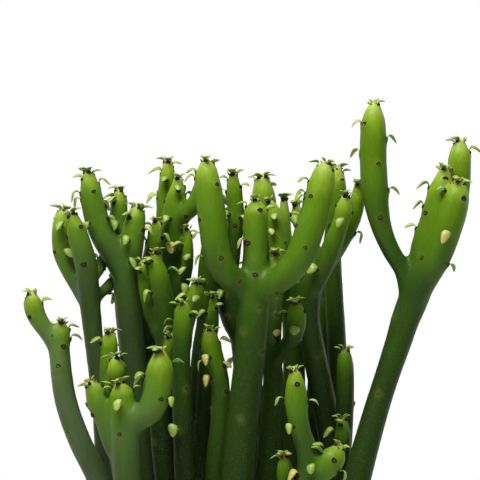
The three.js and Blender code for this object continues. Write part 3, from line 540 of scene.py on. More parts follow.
         [-61.2, -35, 302.2, 2.2]],
    ],
    "stem_rear_left": [
        [[-30, 48, 108, 5.6], [-31, 48, 147, 5.7], [-38, 49, 190, 5.4], [-46, 49, 230, 5.2],
         [-52, 48, 270, 4.9], [-54.5, 47, 296, 4.8], [-55, 47, 305, 4], [-55, 47, 311, 1.9]],
        [[-45, 49, 236, 4], [-41, 55, 250, 4.4], [-38.5, 58, 266, 4.8], [-38, 59, 279, 4.2],
         [-38, 59, 286, 2]],
    ],
    "stem_rear_middle": [
        [[3, 46, 108, 6], [3, 46, 147, 6], [5, 50, 190, 5.6], [6, 53, 240, 5.2], [7, 55, 330, 4.8],
         [7.5, 55, 345, 4.2], [7.5, 55, 352, 2]],
        [[6.5, 53, 258, 4], [13, 58, 272, 4.4], [17, 60, 284, 4.7], [17.5, 60, 295, 4.1],
         [17.5, 60, 302, 2]],
        [[6, 53, 272, 3.8], [1.5, 58, 284, 4.1], [0.8, 60, 296, 4.3], [0.8, 60, 310, 1.9]],
    ],
    "stem_rear_right": [
        [[36, 46, 108, 5.2], [37, 46, 147, 5.3], [43, 50, 190, 5.1], [47, 53, 240, 4.9],
         [48, 54, 280, 4.6], [48, 54, 298, 4.4], [48.3, 54.2, 305.6, 2.2]],
    ],
}

# The tubes are SKIN_SPARE too thick at first, because the skin draws in while it is evened. A wave of its
# unevenness has a direction and a length in millimetres.
PATH_STEP = 1.5 * MM
LEAST_RADIUS = 0.4 * MM
STEM_SIDES = 20
TIP_DOME = 0.6
SKIN_SPARE = 0.22 * MM
SKIN_VOXEL = 1.08 * MM
SKIN_ROUNDS = 5
SKIN_WEIGHT = 0.5
FORK_ROUNDS = 20
FORK_WEIGHT = 0.55
FORK_DEPTH = 6 * MM
FORK_REACH = 8 * MM
WOBBLE_DEPTH = 0.08 * MM
WOBBLE_WAVES = [((1, 0.3, 0.2), 7), ((-0.4, 1, 0.3), 9), ((0.2, -0.3, 1), 13), ((0.6, 0.7, 0.5), 5)]
SWELL_DEPTH = 0.5 * MM
SWELL_REACH = 1.5 * MM
SWELL_DROP = 0.9 * MM
AGE_SPREAD = 1.1 * MM
AGE_SPAN = 260 * MM
PALE_ZONE = 10 * MM
CORNERS_AT_ONCE = 4000

# How much grey bloom each stem carries, and how slowly each of its shoots darkens below the tip
BLOOM = {
    "stem_far_left": 1.0,
    "stem_left_outer": 0.45,
    "stem_left_back": 0.35,
    "stem_front_left": 0.5,
    "stem_front_middle": 0.06,
    "stem_far_right": 0.06,
    "stem_front_right": 0.1,
}
PLAIN_BLOOM = 0.02
# Low values here also stand for painted shade: they darken shoots deep in the clump beyond what their age
# gives.
YOUTH_AND_SHADE = {
    "stem_front_middle": [0.72, 1.0, 1.4, 0.6],
    "stem_far_right": [0.95, 1.1, 1.3, 0.85],
    "stem_far_left": [0.5, 0.6],
    "stem_left_outer": [0.55, 0.9, 0.3, 0.3],
    "stem_left_back": [0.5, 0.7, 0.5],
    "stem_back_left": [0.7, 0.7, 0.6, 0.4],
    "stem_left_middle": [0.34, 0.4, 0.45],
    "stem_short_left": [0.28, 0.35],
    "stem_slim": [0.35],
    "stem_back_middle": [0.5, 0.9],
    "stem_back_slim_right": [0.8],
    "stem_right_inner": [0.8, 0.25],
    "stem_right_middle": [0.7, 0.7],
    "stem_right_back": [0.75],
    "stem_back_right": [0.7],
    "stem_short_right": [0.2, 0.2],
    "stem_front_right": [0.6, 0.5],
    "stem_young_right": [0.2],
    "stem_front_left": [0.55, 0.8, 0.5],
    "stem_young_left": [0.65, 0.6],
}
PLAIN_YOUTH_AND_SHADE = 0.5


def path_of(points):
    """Close samples of a smooth path through given points: centres, radii and distances to the tip."""
    marks = np.array(points, dtype=float) * MM
    marks = np.vstack([2 * marks[0] - marks[1], marks, 2 * marks[-1] - marks[-2]])
    samples = []
    for a, b, c, d in zip(marks, marks[1:], marks[2:], marks[3:]):
        gaps = [max(np.linalg.norm(q[:3] - p[:3]), 1e-9) ** 0.5 for p, q in ((a, b), (b, c), (c, d))]
        start = ((b - a) / gaps[0] - (c - a) / (gaps[0] + gaps[1]) + (c - b) / gaps[1]) * gaps[1]
        end = ((c - b) / gaps[1] - (d - b) / (gaps[1] + gaps[2]) + (d - c) / gaps[2]) * gaps[1]
        steps = max(2, math.ceil(np.linalg.norm(c[:3] - b[:3]) / PATH_STEP))
        for t in np.arange(steps) / steps:
            curve = (2 * t**3 - 3 * t**2 + 1) * b + (t**3 - 2 * t**2 + t) * start
            samples.append(curve + (3 * t**2 - 2 * t**3) * c + (t**3 - t**2) * end)
    samples = np.array([*samples, marks[-2]])
    centres, radii = samples[:, :3], np.maximum(samples[:, 3], LEAST_RADIUS)
    spans = np.linalg.norm(np.diff(centres, axis=0), axis=1)
    to_tip = np.concatenate([np.cumsum(spans[::-1])[::-1], [0.0]])
    along = np.gradient(centres, axis=0)
    along /= np.linalg.norm(along, axis=1)[:, None]
    side = np.array([1.0, 0, 0]) - along * along[:, :1]
    side /= np.linalg.norm(side, axis=1)[:, None]
    back = np.cross(along, side)
    return {"centres": centres, "radii": radii, "to_tip": to_tip, "along": along, "side": side, "back": back}


def tube_of(path):
    """Corners and faces of a closed round tube along a path, with a domed tip."""
    angles = TURN * np.arange(STEM_SIDES) / STEM_SIDES
    cosines, sines = np.cos(angles)[:, None], np.sin(angles)[:, None]
    centres, radii = path["centres"], path["radii"] + SKIN_SPARE
    dome = path["along"][-1] * radii[-1] * TIP_DOME
    last = len(centres) - 1
    rings = [(centres[i], radii[i], i) for i in range(last + 1)]
    for tilt in (0.5, 1.0):
        rings.append((centres[last] + dome * math.sin(tilt), radii[last] * math.cos(tilt), last))
    corners = [centres[0]]
    for centre, radius, i in rings:
        corners.extend(centre + radius * (cosines * path["side"][i] + sines * path["back"][i]))
    corners.append(centres[last] + dome)
    return corners, capped_faces(len(rings), STEM_SIDES)


# Where leaves and leaf scars sit: as seen in the photograph on the shoots that it shows well, and elsewhere
# on a spiral round each shoot. Distances are in millimetres below the tip. A seat is [distance, heading in
# degrees], where 0 is right, 90 back and 180 left, and a third value is how far its leaf has yellowed.
SPIRAL = math.radians(137.5)
TUFT_LEAVES = 2
TUFT_DISTANCE = 1.2
SIDE_LEAVES = 3
SIDE_DISTANCE = 6.0
SIDE_STEP = 6.4
SCAR_GROWTH = 1.07
SEAT_REACH = 0.93
LOWEST_SCAR = 150 * MM
FAR_SIDE = 0.7
LEAVES_SEEN = {
    "stem_front_middle": [
        [[0.5, 254], [4, 190], [5, 20], [21.5, 220]],
        [[0.5, 262, 0.9], [2.2, 0], [5.7, 180], [8.5, 182], [46.5, 186]],
        [[0.5, 300, 0.9], [2.4, 185], [3, 332, 0.85], [10.6, 188], [17, 190], [19.5, 200]],
        [[0.5, 262], [1, 20]],
    ],
    "stem_far_right": [
        [[0.5, 250], [2, 120], [6, 20], [11, 176], [21, 190, 0.8], [33, 182, 0.8]],
        [[0.5, 330], [10, 184], [17.5, 4], [24.5, 178, 0.8], [44, 2, 0.95]],
        [[0.5, 215], [2, 178], [5.5, 0], [20, 80]],
        [[0.5, 265, 0.9], [1.5, 330], [3, 150], [6, 200], [27, 268, 0.9], [40, 340]],
    ],
    "stem_far_left": [[[0.5, 265], [3, 165], [3.5, 15], [8, 355]], [[0.5, 230], [6, 8]]],
    "stem_left_outer": [
        [[0.5, 290], [1.5, 225], [1, 335]],
        [[0.5, 270], [1.7, 180], [8.6, 265], [22.7, 303]],
    ],
    "stem_left_back": [
        [[0.5, 185], [0.5, 298], [2, 0], [6, 230], [11, 325], [17, 250], [28, 280]],
        [[0.5, 200], [0.5, 280], [3.8, 200], [2, 0], [7, 0], [10.5, 186], [13.5, 188], [25, 232],
         [25.5, 328]],
        [[0.5, 185], [0.5, 300], [5, 202], [7, 232, 0.7], [18.5, 262]],
    ],
    "stem_back_left": [
        [[0.5, 250], [6.3, 280], [8, 0], [20.5, 253], [33.5, 266, 1.0]],
        [[0.5, 180], [0.5, 275], [2.8, 0], [6.5, 182], [9.2, 262], [19, 196]],
        [],
        [[0.5, 250], [4, 340], [9, 200], [14, 262], [21, 250], [29, 275]],
    ],
    "stem_back_slim_left": [
        [[0.5, 250], [1.5, 0], [3.5, 180], [6, 205], [8, 330], [11, 182], [14, 245, 0.4]],
    ],
    "stem_left_middle": [
        [[0.5, 290], [1, 350], [4.5, 235], [5.5, 200], [10.8, 348], [19.7, 205]],
        [[0.5, 320], [0.5, 200], [5, 240]],
        [[0.5, 240], [5, 350]],
    ],
    "stem_short_left": [
        [[0.5, 252], [2, 185], [6, 315], [9.7, 182], [13, 186], [30, 186], [62, 235, 0.5]],
        [[0.5, 252], [0.5, 310], [1, 195], [8, 280], [10, 215]],
    ],
    "stem_slim": [[[0.5, 250], [5.7, 300], [9, 200]]],
    "stem_short_middle": [
        [[0.5, 258], [1, 335], [7.5, 0], [7.5, 180], [13.4, 245], [15.3, 188], [19.4, 318, 1.0],
         [24, 211, 1.0]],
    ],
    "stem_back_middle": [
        [[0.5, 262], [1, 0], [3, 180], [7, 335], [9, 196], [21, 225], [22.5, 300, 1.0], [60.5, 250]],
        [[0.5, 237], [0.5, 314], [1.5, 0], [2, 180]],
    ],
    "stem_right_inner": [
        [[0.5, 250], [9.3, 268], [16, 250, 0.7], [70.9, 285, 1.0]],
        [[0.5, 215], [0.5, 320], [1, 266], [6, 180], [13, 262]],
    ],
    "stem_right_middle": [[[0.5, 250], [24, 350]], [[0.5, 268], [1, 330], [13.6, 264], [39, 235]]],
    "stem_right_back": [[[0.5, 200], [0.5, 0], [3, 10]]],
    "stem_back_right": [[[0.5, 240], [4.6, 190], [8.7, 250]]],
    "stem_back_slim_right": [[[0.5, 250], [0.5, 318], [8.5, 350]]],
    "stem_front_left": [
        [[0.5, 260], [0.5, 329], [2.2, 180], [4.8, 0], [10, 258, 0.7]],
        [[0.5, 276, 0.9], [0.5, 200], [1, 235], [6.5, 0], [13, 196], [15, 190], [22.7, 325]],
        [[0.5, 250, 0.95], [1.7, 190], [4.5, 350]],
    ],
    "stem_young_left": [[[0.5, 250], [1, 0], [6, 200]], [[0.5, 285], [1, 0], [1.5, 185]]],
    "stem_front_right": [
        [[0.5, 235], [0.5, 345], [14.2, 182], [15.7, 350], [27, 232], [48.4, 272], [53, 212]],
        [[0.5, 200], [0.5, 310], [7, 182], [8.8, 200], [9.7, 335]],
    ],
    "stem_short_right": [[[0.5, 200], [0.5, 325]], [[0.5, 200], [0.5, 325], [3, 255], [7, 190]]],
    "stem_young_right": [[[0.5, 250], [1, 310, 1.0], [2.2, 195]]],
}
SCARS_SEEN = {
    "stem_front_middle": [
        [[5.4, 290], [22, 234], [28.9, 337], [38.2, 269], [53.8, 290], [65, 236], [74.8, 320],
         [108, 262]],
        [[12.7, 313], [29, 211], [48.4, 282], [62.6, 306]],
        [[18, 237], [34, 206], [42.7, 276], [55.7, 355], [67, 295]],
    ],
    "stem_far_right": [
        [[4.9, 282], [23.9, 225], [44.7, 257], [78.1, 212], [118.9, 259]],
        [[10.1, 221], [30.3, 290], [43.8, 355], [57, 275]],
        [[15, 228]],
        [[7.7, 302], [42.6, 205]],
    ],
    "stem_far_left": [[[12.2, 294], [21.8, 259], [54.8, 227], [84, 300]], [[10.7, 229], [24.3, 293]]],
    "stem_left_outer": [[[7.6, 307], [11, 185], [25, 265]], [[20.8, 218]]],
    "stem_left_back": [[], [[10.5, 288], [18.7, 344]], [[3.4, 355]]],
    "stem_back_left": [[[12.7, 188]], [[16, 185]], [[23.2, 263]]],
    "stem_left_middle": [[[26.9, 185], [94.8, 215]]],
    "stem_short_left": [[[42.3, 300]]],
    "stem_short_middle": [[[31.4, 304], [39.9, 190]]],
    "stem_right_middle": [[[59, 295], [91.8, 283]], [[5.7, 185], [8, 355]]],
    "stem_right_back": [[[6, 306], [28.3, 238]]],
    "stem_right_inner": [[[22.7, 318], [60.7, 285]], [[5.2, 339]]],
    "stem_front_right": [[[6.7, 280]], [[6.9, 278]]],
    "stem_front_left": [[[24.6, 248]], [[22.7, 293]], [[10, 185], [15.5, 208]]],
}


def seat_at(path, distance, angle, yellowed=None):
    """A place on a shoot's skin: its middle, directions and radius, at a distance from the tip."""
    to_tip = path["to_tip"][::-1]
    seat = {"distance": distance, "yellowed": yellowed, "is_sprout": False}
    for key in ("centres", "along", "side", "back"):
        values = path[key][::-1]
        seat[key] = Vector([float(np.interp(distance, to_tip, values[:, axis])) for axis in range(3)])
    seat["radius"] = float(np.interp(distance, to_tip, path["radii"][::-1]))
    seat["along"].normalize()
    seat["out"] = (seat["side"] * math.cos(angle) + seat["back"] * math.sin(angle)).normalized()
    return seat


def seats_of(stem, shoot):
    """The seats of a shoot's leaves and of its leaf scars. Of the spiral's seats, a shoot with seen ones
    keeps those on its far side."""
    path = paths[stem][shoot]
    x, y, z, _ = STEMS[stem][shoot][-1]
    start = x + 2 * y + 3 * z
    leaves = [(TUFT_DISTANCE, start + SPIRAL * k) for k in range(TUFT_LEAVES)]
    scars, step, place = [], SIDE_STEP, SIDE_DISTANCE
    while place * MM < path["to_tip"][0] * SEAT_REACH:
        group = leaves if len(leaves) < TUFT_LEAVES + SIDE_LEAVES else scars
        group.append((place, start + SPIRAL * (len(leaves) + len(scars))))
        place += step
        step *= SCAR_GROWTH
    groups = []
    for group, table in ((leaves, LEAVES_SEEN), (scars, SCARS_SEEN)):
        for seen in table.get(stem, [])[shoot : shoot + 1]:
            group = [(place, turn) for place, turn in group if math.sin(turn) > FAR_SIDE]
            group += [(place, math.radians(turn), *yellowed) for place, turn, *yellowed in seen]
        groups.append([seat_at(path, place * MM, *rest) for place, *rest in group])
    return groups[0], [seat for seat in groups[1] if seat["centres"].z > LOWEST_SCAR]


paths = {stem: [path_of(points) for points in shoots] for stem, shoots in STEMS.items()}
seats = {stem: [seats_of(stem, shoot) for shoot in range(len(STEMS[stem]))] for stem in STEMS}

TIP_CREAM = (0.440, 0.580, 0.120)
TIP_LIME = (0.365, 0.480, 0.070)
YOUNG_LIME = (0.222, 0.348, 0.017)
YOUNG_GREEN = (0.110, 0.220, 0.003)
LEAF_GREEN = (0.078, 0.175, 0.003)
GROWN_GREEN = (0.051, 0.120, 0.003)
OLD_GREEN = (0.025, 0.069, 0.003)
OLDEST_GREEN = (0.015, 0.041, 0.003)
# Painted shade: the darkest green stands for shade deep inside the clump, not for older skin.
INNER_SHADE_GREEN = (0.007, 0.018, 0.003)
BLOOM_GREY = (0.130, 0.180, 0.085)
SWELL_GREEN = (0.105, 0.180, 0.020)
PORE_GREEN = (0.130, 0.210, 0.015)

waxy_skin = Finish("waxy_skin")
age_and_shade = waxy_skin.attribute("age_and_shade")
patches = waxy_skin.grain(9 * MM, detail=5, stretch=(1, 1, 3))
streaks = waxy_skin.grain(1.6 * MM, stretch=(1, 1, 3))
pores = waxy_skin.grain(0.5 * MM, detail=3)
uneven_age_and_shade = waxy_skin.product(age_and_shade, waxy_skin.spread(patches, 0.25, 0.75, 0.75, 1.25))
# Past the oldest green, the ramp's last stop paints shade on shoots deep in the clump.
skin_green = waxy_skin.colours(
    uneven_age_and_shade,
    [
        (0.0, TIP_CREAM),
        (0.015, TIP_LIME),
        (0.030, YOUNG_LIME),
        (0.058, YOUNG_GREEN),
        (0.129, LEAF_GREEN),
        (0.185, GROWN_GREEN),
        (0.26, OLD_GREEN),
        (0.46, OLDEST_GREEN),
        (0.95, INNER_SHADE_GREEN),
    ],
)
streaked = waxy_skin.blend(waxy_skin.spread(streaks, 0.35, 0.7, 0.0, 0.2), skin_green, OLD_GREEN)
speckled = waxy_skin.blend(waxy_skin.spread(pores, 0.54, 0.70, 0.0, 0.34), streaked, PORE_GREEN)
patchy_bloom = waxy_skin.product(
    waxy_skin.attribute("bloom"),
    waxy_skin.product(waxy_skin.spread(patches, 0.35, 0.7, 0.3, 0.6), waxy_skin.spread(age_and_shade, 0.01, 0.16)),
)
bloomed = waxy_skin.blend(patchy_bloom, speckled, BLOOM_GREY)
swollen_share = waxy_skin.product(
    waxy_skin.attribute("swelling"),
    waxy_skin.spread(age_and_shade, 0.03, 0.3, 0.2, 0.45),
)
waxy_skin.set(
    Base_Color=waxy_skin.blend(swollen_share, bloomed, SWELL_GREEN),
    Roughness=waxy_skin.spread(patches, 0.3, 0.7, 0.34, 0.5),
    Normal=waxy_skin.relief(pores, 0.035 * MM, under=waxy_skin.relief(streaks, 0.06 * MM)),
    Specular_IOR_Level=0.15,
    Subsurface_Weight=0.1,
    Subsurface_Radius=(0.6, 1.0, 0.25),
    Subsurface_Scale=1.2 * MM,
)


def joined_tubes(stem):
    """A stem's tubes, joined into one skin."""
    corners, faces = [], []
    for path in paths[stem]:
        tube_corners, tube_faces = tube_of(path)
        faces += [tuple(index + len(corners) for index in face) for face in tube_faces]
        corners += tube_corners
    piece = new_piece(stem + "_skin", corners, faces, waxy_skin)
    joined = piece.modifiers.new("joined", "REMESH")
    joined.mode = "VOXEL"
    joined.voxel_size = SKIN_VOXEL
    settle(piece)
    return piece


def read_values(rows, key, width, kind):
    """One value of each of a mesh's corners or edges, in an array with so many columns."""
    values = np.empty(len(rows) * width, dtype=kind)
    rows.foreach_get(key, values)
    return values.reshape(-1, width)


def evened(corners, edges, weights, rounds):
    """Corners drawn towards the middle of their neighbours, each by its own weight."""
    first, second = edges[:, 0], edges[:, 1]
    count = len(corners)
    neighbours = np.maximum(np.bincount(first, minlength=count) + np.bincount(second, minlength=count), 1)
    for _ in range(rounds):
        middle = np.empty_like(corners)
        for axis in range(3):
            values = corners[:, axis]
            total = np.bincount(first, values[second], count) + np.bincount(second, values[first], count)
            middle[:, axis] = total / neighbours
        corners = corners + weights[:, None] * (middle - corners)
    return corners


def softened(skin, edges, stem):
    """A skin's corners, evened all over, and more so where side shoots leave the leader."""
    skin = evened(skin, edges, np.full(len(skin), SKIN_WEIGHT), SKIN_ROUNDS)
    weights = np.zeros(len(skin))
    for path in paths[stem][1:]:
        fork = path["centres"][np.searchsorted(-path["to_tip"], FORK_DEPTH - path["to_tip"][0])]
        apart = np.linalg.norm(skin - fork, axis=1)
        weights = np.maximum(weights, FORK_WEIGHT * np.exp(-((apart / FORK_REACH) ** 2)))
    return evened(skin, edges, weights, FORK_ROUNDS)


def ages_with_shade_and_outward(skin, stem):
    """How far below a tip each corner is, stretched by its shoot's youth and by painted shade for shoots
    deep in the clump, and which way is out of the stem there.
    """
    centres = np.vstack([path["centres"] for path in paths[stem]])
    radii = np.concatenate([path["radii"] for path in paths[stem]])
    youths_and_shade = YOUTH_AND_SHADE.get(stem, [])
    grown_and_shaded = []
    for shoot, path in enumerate(paths[stem]):
        youth_and_shade = youths_and_shade[shoot] if shoot < len(youths_and_shade) else PLAIN_YOUTH_AND_SHADE
        pale = np.minimum(path["to_tip"], PALE_ZONE) / min(youth_and_shade, 1)
        grown_and_shaded.append(pale + np.maximum(path["to_tip"] - PALE_ZONE, 0) / youth_and_shade)
    grown_and_shaded = np.concatenate(grown_and_shaded)
    ages_and_shade = np.empty(len(skin))
    nearest = np.empty(len(skin), dtype=int)
    for start in range(0, len(skin), CORNERS_AT_ONCE):
        part = slice(start, start + CORNERS_AT_ONCE)
        apart = np.linalg.norm(skin[part, None] - centres[None], axis=2) - radii[None]
        apart -= apart.min(axis=1)[:, None]
        pull = np.exp(-apart / AGE_SPREAD)
        ages_and_shade[part] = (pull * grown_and_shaded).sum(axis=1) / pull.sum(axis=1)
        nearest[part] = apart.argmin(axis=1)
    outward = skin - centres[nearest]
    return ages_and_shade, outward / np.linalg.norm(outward, axis=1)[:, None]


def swollen_below_seats(skin, stem):
    """How much the skin swells at each corner, up to 1 just below a seat."""
    swollen = np.zeros(len(skin))
    for leaves, scars in seats[stem]:
        for seat in leaves + scars:
            spot = np.array(seat["centres"] + seat["out"] * seat["radius"] - seat["along"] * SWELL_DROP)
            near = np.exp(-((skin - spot) ** 2).sum(axis=1) / (2 * SWELL_REACH**2))
            swollen = np.maximum(swollen, near)
    return swollen


def wobble(corners):
    """A slow unevenness of the skin, from a few crossed waves."""
    total = np.zeros(len(corners))
    for direction, length in WOBBLE_WAVES:
        total += np.sin(corners @ np.array(direction) / (length * MM) + length)
    return total * WOBBLE_DEPTH


for stem in STEMS:
    piece = joined_tubes(stem)
    mesh = piece.data
    edges = read_values(mesh.edges, "vertices", 2, np.int32)
    skin = softened(read_values(mesh.vertices, "co", 3, float), edges, stem)
    ages_and_shade, outward = ages_with_shade_and_outward(skin, stem)
    swollen = swollen_below_seats(skin, stem)
    skin = skin + outward * (SWELL_DEPTH * swollen + wobble(skin))[:, None]
    mesh.vertices.foreach_set("co", skin.ravel())
    mesh.polygons.foreach_set("use_smooth", [True] * len(mesh.polygons))
    mesh.update()
    # The stored age also carries painted shade, through the low youth values of shaded shoots.
    set_values(piece, "age_and_shade", np.clip(ages_and_shade / AGE_SPAN, 0, 1))
    set_values(piece, "swelling", swollen)
    set_values(piece, "bloom", np.full(len(skin), BLOOM.get(stem, PLAIN_BLOOM)))
    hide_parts(stem)


# The leaf scars: small dark brown ovals of cork that grow on the skin under each leaf and stay when it
# drops. A scar has a low, ragged rim and a paler, sunk middle. Old ones far down are smaller and redder.
SCAR_WIDTH = 1.4 * MM
SCAR_HEIGHT = 1.2 * MM
SCAR_RISE = 0.32 * MM
SCAR_MIDDLE_RISE = 0.45
SCAR_SEAT = 0.9
SCAR_SIDES = 12
SCAR_SIZES = (0.85, 1.15)
SCAR_LEAST = 0.55
SCAR_FULL_RADIUS = 12 * MM
SCAR_OLD = 130 * MM
SCAR_SHRINK = 0.3
SCAR_BROWN = (0.024, 0.014, 0.005)
SCAR_CORK = (0.120, 0.085, 0.036)
SCAR_RED = (0.085, 0.048, 0.018)

# A scar's rings from outside to inside: how far out, how high and how much in the pale middle each one is
SCAR_RINGS = [
    (1.1, -0.6, 0),
    (1.0, 0.3, 0),
    (0.84, 0.95, 0),
    (0.6, 1.0, 0.1),
    (0.36, 0.5, 0.7),
    (0.16, 0.4, 1),
]

corky_scar = Finish("corky_scar")
cork_grain = corky_scar.grain(0.5 * MM)
cork_brown = corky_scar.blend(corky_scar.attribute("oldness"), SCAR_BROWN, SCAR_RED)
cork_share = corky_scar.product(corky_scar.attribute("middle"), corky_scar.spread(cork_grain, 0.3, 0.6))
corky_scar.set(
    Base_Color=corky_scar.blend(cork_share, cork_brown, SCAR_CORK),
    Roughness=corky_scar.spread(cork_grain, 0.3, 0.7, 0.7, 0.9),
    Normal=corky_scar.relief(cork_grain, 0.08 * MM),
    Specular_IOR_Level=0.06,
)


def sleeve(start, rings, sides):
    """Faces round rings of corners that follow one another, closed flat at the first ring's end."""
    faces = []
    for low in range(start, start + (rings - 1) * sides, sides):
        for k in range(sides):
            after = (k + 1) % sides
            faces.append((low + k, low + after, low + sides + after, low + sides + k))
    return [*faces, tuple(start + k for k in reversed(range(sides)))]


def add_scar(seat, chance, scar):
    """Adds one scar's corners, faces and stored values to the group of scars."""
    across = seat["along"].cross(seat["out"]).normalized()
    spot = seat["centres"] + seat["out"] * (seat["radius"] + SWELL_DEPTH * SCAR_SEAT)
    oldness = min(1.0, seat["distance"] / SCAR_OLD)
    full = min(1.0, SCAR_LEAST + seat["radius"] / SCAR_FULL_RADIUS)
    scale = chance.uniform(*SCAR_SIZES) * full * (1 - SCAR_SHRINK * oldness)
    turn = chance.uniform(0, TURN)
    start = len(scar["corners"])
    for reach, rise, middle in SCAR_RINGS:
        for k in range(SCAR_SIDES):
            angle = TURN * k / SCAR_SIDES
            ragged = 1 + 0.1 * math.sin(3 * angle + turn) + 0.06 * math.sin(5 * angle + 2 * turn)
            wide = SCAR_WIDTH * reach * math.cos(angle) * ragged * scale
            tall = SCAR_HEIGHT * reach * math.sin(angle) * ragged * scale
            sag = -(wide**2) / (2 * seat["radius"])
            lift = seat["out"] * (sag + SCAR_RISE * rise * scale)
            scar["corners"].append(spot + across * wide + seat["along"] * tall + lift)
            scar["middle"].append(middle)
    last = len(scar["corners"])
    scar["corners"].append(spot + seat["out"] * SCAR_RISE * SCAR_MIDDLE_RISE)
    scar["middle"].append(1.0)
    scar["oldness"] += [oldness] * (last + 1 - start)
    scar["faces"] += sleeve(start, len(SCAR_RINGS), SCAR_SIDES)
    inner = last - SCAR_SIDES
    scar["faces"] += [(inner + k, inner + (k + 1) % SCAR_SIDES, last) for k in range(SCAR_SIDES)]


scar = {"corners": [], "faces": [], "middle": [], "oldness": []}
chance = random.Random(5)
for stem in STEMS:
    for leaves, scars in seats[stem]:
        for seat in leaves + scars:
            add_scar(seat, chance, scar)
scars_piece = new_piece("leaf_scars", scar["corners"], scar["faces"], corky_scar)
for value in ("middle", "oldness"):
    set_values(scars_piece, value, scar[value])


# The leaves: small, thin and cupped, each growing from the skin on a pale stalk. They rise, arch over and
# hang at the point. Tip leaves are shorter and more upright, and the sprouts between them stand almost
# straight up. Most are yellow-green, and a few turn yellow before they drop. No two are quite alike.
TIP_LENGTH = 4.5 * MM
SIDE_LENGTH = 6.3 * MM
LENGTH_GAIN = 0.25

# A leaf's lift is in degrees above level, and it loses LIFT_LOSS for each millimetre below the tip. How far
# lift, yaw and roll vary is in radians.
TIP_LIFT = 66
SIDE_LIFT = 3
LIFT_LOSS = 5.5
LIFT_VARIES = 0.14
YAW_VARIES = 0.3
ROLL_VARIES = 0.6
SPROUTS = 2
SPROUT_LENGTH = 3.7 * MM
SPROUT_LIFT = 80
SPROUT_CURL = 0.6
SPROUT_INSET = 0.5
SPROUT_TURN = 0.5
LEAF_SEAT = 0.6
LEAF_GAP = 0.9 * MM
LEAF_HALF_WIDTH = 0.36
LEAF_SIZES = (0.88, 1.12)
LEAF_CURLS = (0.65, 1.3)
LEAF_FOLD = 0.5
LEAF_FOLDS = (0.75, 1.2)
FOLD_CURVE = 1.5
FOLD_START = 3
LEAF_THICKNESS = 0.42 * MM
EDGE_THINNING = 0.7
END_THINNING = 0.6
RIB_GROOVE = 0.08
STALK_SHARE = 0.18
STALK_HALF_WIDTH = 0.34 * MM
BLADE_SKEW = 1.1
BLADE_FULLNESS = 0.5
LEAF_TINTS = (0.15, 0.75)
SPROUT_TINTS = (0.55, 0.85)
YELLOW_SHARE = 0.04
LEAF_FRESH = (0.250, 0.390, 0.050)
LEAF_DEEP = (0.130, 0.250, 0.025)
LEAF_LIME = (0.370, 0.490, 0.090)
LEAF_YELLOW = (0.560, 0.470, 0.120)
STALK_PALE = (0.330, 0.360, 0.120)

# The midline's four guide points, outwards and upwards as shares of a leaf's length, and the rows of corners
# along it. A row runs over the upper side and back under the leaf, in shares of half the leaf's width.
ARCH = ((-0.10, -0.05), (0.22, 0.50), (0.76, 0.50), (0.78, -0.46))
LEAF_ROWS = 16
END_CROWDING = 1.5
STEP_AHEAD = 0.02
UPPER_SIDE = (-1, -0.55, 0, 0.55, 1)
UNDER_SIDE = (0.55, 0, -0.55)

leaf_skin = Finish("leaf_skin")
tint = leaf_skin.attribute("tint")
rib = leaf_skin.attribute("rib")
reach = leaf_skin.attribute("reach")
leaf_mottle = leaf_skin.grain(1.0 * MM)
leaf_stops = [(0.0, LEAF_DEEP), (0.4, LEAF_FRESH), (0.7, LEAF_LIME), (1.0, LEAF_YELLOW)]
leaf_green = leaf_skin.colours(tint, leaf_stops)
mottled = leaf_skin.blend(leaf_skin.spread(leaf_mottle, 0.4, 0.7, 0.0, 0.35), leaf_green, LEAF_DEEP)
ribbed = leaf_skin.blend(leaf_skin.spread(rib, 0.5, 1.0, 0.0, 0.4), mottled, STALK_PALE)
leaf_skin.set(
    Base_Color=leaf_skin.blend(leaf_skin.spread(reach, 0.3, 0.08, 0.0, 0.8), ribbed, STALK_PALE),
    Roughness=leaf_skin.spread(leaf_mottle, 0.3, 0.7, 0.38, 0.55),
    Normal=leaf_skin.relief(leaf_mottle, 0.06 * MM),
    Subsurface_Weight=0.25,
    Subsurface_Radius=(0.8, 1.0, 0.3),
    Subsurface_Scale=0.7 * MM,
)


def along_leaf(row):
    """Where a row lies between a leaf's foot and end. Rows crowd together at its end, which is round."""
    return 1 - (1 - row / LEAF_ROWS) ** END_CROWDING


def arch_point(share):
    """A point of the leaf's midline, outwards and upwards, as shares of its length."""
    points = [Vector(point) for point in ARCH]
    while len(points) > 1:
        points = [a.lerp(b, share) for a, b in zip(points, points[1:])]
    return points[0]


arch_marks = [arch_point(along_leaf(row)) for row in range(LEAF_ROWS + 1)]
arch_steps = [(after - before).length for before, after in zip(arch_marks, arch_marks[1:])]
arch_reach = [sum(arch_steps[:row]) / sum(arch_steps) for row in range(LEAF_ROWS + 1)]


def stance_of(seat):
    """How far a leaf stands above level, in radians, and how long it is."""
    if seat["is_sprout"]:
        return math.radians(SPROUT_LIFT), SPROUT_LENGTH
    lift = max(SIDE_LIFT, TIP_LIFT - LIFT_LOSS * seat["distance"] / MM)
    return math.radians(lift), min(SIDE_LENGTH, TIP_LENGTH + LENGTH_GAIN * seat["distance"])


